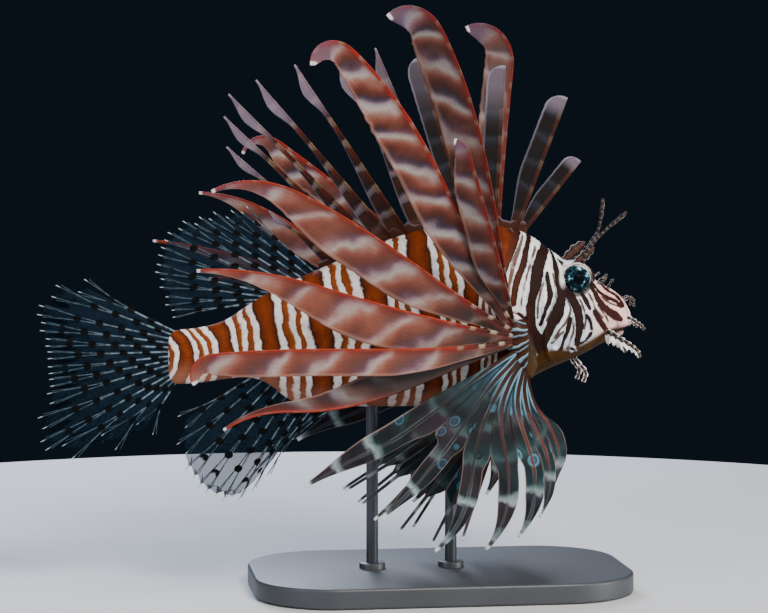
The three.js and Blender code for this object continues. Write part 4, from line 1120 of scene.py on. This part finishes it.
def eyeMaterial():
    newMaterial("eyeBall", roughness=0.34, specular=0.07)
    radial, turn = readMarks("radial turn")
    flecks = noise(360, 3, 0.6)
    blotches = noise(210, 2, 0.5)
    ragged = plus(radial, times(minus(blotches, 0.5), 3.4))
    iris = ramp(flecks, [(0.34, "#010407"), (0.47, "#04161f"), (0.55, "#0e3848"), (0.61, "#3d7686"),
        (0.68, "#c2dce2")])
    iris = over(iris, "#040a10", between(blotches, 0.52, 0.64), 0.8)
    shade = over("#02050c", iris, between(ragged, 2.6, 3.4))
    # Painted highlight: a pale crescent near the rim of the eye, brightest on one side
    paintedGlint = between(single("SINE", plus(turn, 0.9)), 0.3, 0.9)
    shade = over(shade, "#d8d2cc", between(radial, 5.9, 6.6), paintedGlint)
    return painted(shade)


eyeBall = eyeMaterial()
for side, flank in (("Right", -1), ("Left", 1)):
    finish(makeEye(f"eye{side}", flank), eyeBall, "eye", f"eye_{side.lower()}")
print("eyes made")

# Feelers of the face and over the eyes, with leaves along them
feelers = {
    "face": [
        dict(path=[(82.5, 129.5, 9.5), (85.5, 128.2, 13.5), (89, 125.8, 15), (94, 122.6, 15.5),
                   (97.8, 119.4, 15.6), (99.6, 115.8, 15.6)], radius=0.95, frill=(8, 1.6, 1.1, 7.6, 1.2)),
        dict(path=[(92, 136.4, 5), (97, 134.6, 6.8), (101, 132, 7.4), (103.9, 129.4, 7.6)], radius=0.6,
             frill=(6, 1.5, 0.9, 1.7, 0.9)),
        dict(path=[(93, 143, 3), (96.5, 145.4, 3.6), (98.8, 144, 4), (98.8, 140.6, 4.2)], radius=0.55,
             frill=(4, 0.9, 0.6, 1.0, 0.6)),
        dict(path=[(84.5, 149, 6.4), (85.6, 152.4, 7.4), (87.4, 155.2, 7.6)], radius=0.65,
             frill=(2, 1.1, 0.5, 0.9, 0.5)),
        dict(path=[(79, 152, 7.6), (81.2, 155.2, 8.6), (84.2, 157.6, 8.8)], radius=0.75,
             frill=(2, 1.3, 0.5, 1.0, 0.5)),
        dict(path=[(66, 119, 5), (70, 112.6, 6.4), (73.4, 108, 7.4), (72, 103, 7.8)], radius=0.8,
             frill=(5, 1.7, 1.3, 1.5, 1.3)),
        dict(path=[(62, 122, 16.6), (65, 120.6, 19.2), (68.4, 119.2, 19.6)], radius=1.0),
    ],
    "brow": {
        "tentacle_right": dict(root=(70.5, -10.5, 161), bends=[(72, 9), (48, 13), (40, 15)],
                               leaf=dict(root=(65.5, 161.5), heading=40, length=15, half=2.4)),
        "tentacle_left": dict(root=(69.5, 9, 161), bends=[(48, 12), (60, 12), (82, 15)],
                              leaf=dict(root=(64.5, 162.5), heading=42, length=16, half=3.0)),
    },
    "browRadius": 1.25, "browFrill": (7, 0.2, 1.2, 0.2, 1.2),
}


# A flat leaf with a pale rim
def makeLeaf(root, along, length, half, rows=25):
    along = unit(along)
    across = unit(np.cross([0, 1, 0], along))
    out = unit(np.cross(along, across))
    ts = np.linspace(0, 1, rows)
    wide = half * np.interp(ts, [0, 0.3, 0.6, 0.85, 1], [0.5, 0.85, 1, 0.7, 0.12]) * (1 + 0.13 * np.sin(ts * 24))
    shares = np.array([-1, -0.8, -0.45, 0, 0.45, 0.8, 1])
    curl = 0.12 * length * np.sin(ts * 2.2)[:, None]
    grid = ((np.asarray(root) + along * (ts * length)[:, None])[:, None]
            + across * (wide[:, None] * shares)[..., None]
            + out * (curl * (np.abs(shares) - 0.4))[..., None] * 0.5)
    halves = np.array([0.3, 0.5, 0.8, 1, 0.8, 0.5, 0.3]) * min(0.4, half * 0.4)
    marks = {"along": (ts * length)[:, None], "leaf": 1, "rim": np.abs(shares)}
    return sweepSheet("leaf", grid, out, halves, marks)


# A toothed edge along both sides of a feeler: count of teeth, then reach above and below it at
# its root and its tip
def makeFrill(line, teeth, aboveFirst, aboveLast, belowFirst, belowLast, start=0.04, depth=0.45):
    rows = teeth * 6 + 1
    ts = np.linspace(start, 1, rows)
    places, along = linePlaces(line, ts), lineAlong(line, ts)
    across = unit(np.cross([0, 1, 0], along))
    outs = unit(np.cross(along, across))
    turns = ts * teeth % 1
    tooth = np.where(turns < 0.7, turns / 0.7, (1 - turns) / 0.3)
    closing = np.sqrt(np.clip((1.02 - ts) / 0.1, 0, 1))
    shares = np.array([-1, -0.75, -0.4, 0, 0.4, 0.75, 1])
    above, below = lerp(aboveFirst, aboveLast, ts), lerp(belowFirst, belowLast, ts ** 0.85)
    reach = np.where(shares[None] < 0, above[:, None], below[:, None]) * (1 - depth + depth * tooth)[:, None]
    reach = reach * closing[:, None]
    grid = (places[:, None] + across[:, None] * (shares * reach)[..., None]
            + along[:, None] * (shares ** 2 * reach * 0.35)[..., None]
            + outs[:, None] * (0.3 * reach * shares ** 2 * np.sin(ts * teeth * 2.6)[:, None])[..., None])
    rim = np.abs(shares) * np.clip(reach * np.where(shares > 0, 1, 0.8), 0.7, 1.9)
    marks = {"along": (ts * 30)[:, None], "leaf": 0.6, "rim": rim}
    return sweepSheet("frill", grid, outs[:, None], [0.1, 0.2, 0.3, 0.4, 0.3, 0.2, 0.1], marks)


def makeFeeler(name, points, radius, frill=None, start=0.04, depth=0.45):
    line = smoothLine(points, 60)
    ways = np.linspace(0, 1, 60)
    pieces = [sweepTube(name, line, lerp(radius, radius * 0.4, ways), 10, {"leaf": 0, "rim": 0})]
    if frill:
        pieces.append(makeFrill(line, *frill, start=start, depth=depth))
    return pieces


def feelerMaterial(name, dark, middle, pale, pitch, edge):
    newMaterial(name, roughness=0.6, specular=0.25, coat=(0.03, 0.2))
    along, leaf, rim = readMarks("along leaf rim")
    wobble = noise(300, 3)
    cycle = fract(plus(times(along, pitch), times(wobble, 0.5)))
    ringed = ramp(cycle, [(0, 0), (0.6, 0), (0.72, 0.5), (0.86, 0.5), (1, 0)])
    rings = over(dark, over(pale, dark, 0.6), ringed)
    veined = over(dark, middle, ramp(plus(rim, times(minus(wobble, 0.5), 0.25)),
        [(0, 0.1), (0.2, 0.75), (0.32, 0.4), (0.44, 0), (0.7, 0)]))
    shade = over(rings, veined, leaf)
    shade = over(shade, pale, between(rim, *edge))
    return painted(shade, wobble, 0.3, 0.0003)


faceFeeler = feelerMaterial("faceFeeler", "#170a06", "#3f2416", "#dcd6d2", 0.3, (0.55, 0.8))
browFeeler = feelerMaterial("browFeeler", "#12060d", "#5a2a10", "#a3948a", 0.36, (0.84, 0.97))
pieces = []
for flank in (-1, 1):
    for feeler in feelers["face"]:
        points = [(x, flank * y, z) for x, z, y in feeler["path"]]
        pieces += makeFeeler("feeler", points, feeler["radius"], feeler.get("frill"))
finish(joinPieces("faceFeelers", pieces), faceFeeler, "skin")
for node, brow in feelers["brow"].items():
    points = [np.array(brow["root"], float)]
    for heading, length in brow["bends"]:
        points.append(points[-1] + inPlane(heading) * length)
    pieces = makeFeeler(node, points, feelers["browRadius"], feelers["browFrill"], 0.45, 0.12)
    leaf = brow["leaf"]
    root = (leaf["root"][0], brow["root"][1], leaf["root"][1])
    pieces.append(makeLeaf(root, inPlane(leaf["heading"]), leaf["length"], leaf["half"]))
    finish(joinPieces(f"brow{node.split('_')[1].title()}", pieces), browFeeler, "spine", node)
print("feelers made")

# Display stand
stand = {"length": 190, "width": 118, "height": 10, "corner": 40, "edge": 1.5, "rod": 3,
         "rods": {"stand_rod_front": 6, "stand_rod_rear": -34}, "collar": 6.5, "collarHeight": 3,
         "rodSunk": 5, "rodInBelly": 1.2, "sharpFrom": 35}


def levelRing(middleX, middleY, reach, height, turns):
    return np.stack([middleX + reach * np.cos(turns), middleY + reach * np.sin(turns),
                     np.full(len(turns), float(height))], axis=1)


def makeBase():
    corner, edge, collar = stand["corner"], stand["edge"], stand["collar"]
    turns = circleTurns(96)
    middleX = np.sign(np.cos(turns + 1e-6)) * (stand["length"] / 2 - corner)
    middleY = np.sign(np.sin(turns + 1e-6)) * (stand["width"] / 2 - corner)
    levels = [(0, edge * 0.7)] + [(edge * 0.3 * k, edge * 0.7 * (1 - k / 2)) for k in (1, 2)]
    for k in range(7):
        bend = k / 6 * math.pi / 2
        levels.append((stand["height"] - edge + edge * math.sin(bend), edge * (1 - math.cos(bend))))
    rings = [levelRing(middleX, middleY, corner - inset, height, turns) for height, inset in levels]
    pieces = [sweepRings("standBase", rings)]
    top = stand["height"] + stand["collarHeight"]
    profile = [(stand["height"] - 1, collar), (top - 0.8, collar), (top - 0.25, collar - 0.25),
               (top, collar - 0.9), (top, stand["rod"] + 0.1)]
    for x in stand["rods"].values():
        rings = [levelRing(x, 0, radius, height, circleTurns(40)) for height, radius in profile]
        pieces.append(sweepRings("collar", rings))
    base = joinPieces("standBase", pieces)
    makeActive(base)
    bpy.ops.object.shade_smooth_by_angle(angle=math.radians(stand["sharpFrom"]))
    return base


def standMaterial(name, tone, roughness, metallic):
    newMaterial(name, roughness, metallic=metallic)
    grain = noise(1400, 3, 0.7)
    cloud = noise(30, 4, 0.6)
    shade = over(*tone, cloud)
    plug("Roughness", between(grain, 0.3, 0.7, roughness - 0.06, roughness + 0.1))
    return painted(shade, grain, 0.12, 0.0002)


finish(makeBase(), standMaterial("standBase", ("#2d3035", "#3b3f45"), 0.45, 0.0), "stand_base", "stand_base")
rodMetal = standMaterial("standRod", ("#3a3d42", "#4a4e54"), 0.35, 0.6)
for node, x in stand["rods"].items():
    belly = bodySection(x)[1] + stand["rodInBelly"]
    heights = np.linspace(stand["height"] - stand["rodSunk"], belly, 30)
    line = np.stack([np.full(30, x), np.zeros(30), heights], axis=1)
    rod = sweepTube(node, line, stand["rod"], 28)
    makeActive(rod)
    bpy.ops.object.shade_smooth_by_angle(angle=math.radians(stand["sharpFrom"]))
    finish(rod, rodMetal, "stand_rod", node)
    rod.name = "rod" + node.split("_")[2].title()
print("stand made")

# Floor, light and camera
studio = {"floorRadius": 0.55, "floorDepth": 0.02, "floorPlace": (-0.04, 0, -0.0104), "sensor": 36,
          "cameraPlace": (-208.5, -1284.2, 232.4), "cameraAim": (-28, 0, 141.75), "lens": 121.9}


def floorMaterial():
    newMaterial("floorPaint", roughness=0.75)
    return painted(over("#b9bcbf", "#c3c5c7", noise(6, 3)), noise(300, 2), 0.1, 0.0003)


floor = addShape("studioFloor", bpy.ops.mesh.primitive_cylinder_add, vertices=128,
                 radius=studio["floorRadius"], depth=studio["floorDepth"], location=studio["floorPlace"])
bpy.ops.object.transform_apply(location=True, rotation=False, scale=False)
floor.data.materials.append(floorMaterial())

world = bpy.data.worlds.new("studioAir")
bpy.context.scene.world = world
world.use_nodes = True
backdrop = world.node_tree.nodes["Background"]
backdrop.inputs["Color"].default_value = colour("#0f161e")
backdrop.inputs["Strength"].default_value = 1.0


def aimed(place, aim):
    return (Vector(aim) - Vector(place)).to_track_quat("-Z", "Y").to_euler()


def areaLight(name, place, aim, size, power, tint="#ffffff"):
    data = bpy.data.lights.new(name, "AREA")
    data.shape = "DISK"
    data.size = size
    data.energy = power
    data.color = colour(tint)[:3]
    light = bpy.data.objects.new(name, data)
    bpy.context.collection.objects.link(light)
    light.location = place
    light.rotation_euler = aimed(place, aim)


areaLight("keyLight", (0.3, -1.1, 1.1), (-0.03, 0, 0.14), 0.6, 38, "#fff6ec")
areaLight("fillLight", (-1.2, -0.8, 0.6), (-0.05, 0, 0.14), 0.9, 11, "#e6f0ff")
areaLight("frontLight", (1.1, -0.5, 0.25), (0.04, 0, 0.14), 0.6, 12, "#ffffff")
areaLight("backLight", (-0.2, 1.1, 0.9), (-0.05, 0, 0.16), 0.8, 26, "#dfeaff")

cameraData = bpy.data.cameras.new("photoCamera")
cameraData.lens = studio["lens"]
cameraData.sensor_width = studio["sensor"]
cameraData.clip_start = 0.01
camera = bpy.data.objects.new("photoCamera", cameraData)
bpy.context.collection.objects.link(camera)
camera.location = Vector(studio["cameraPlace"]) * mm
camera.rotation_euler = aimed(studio["cameraPlace"], studio["cameraAim"])
bpy.context.scene.camera = camera
print("studio made")
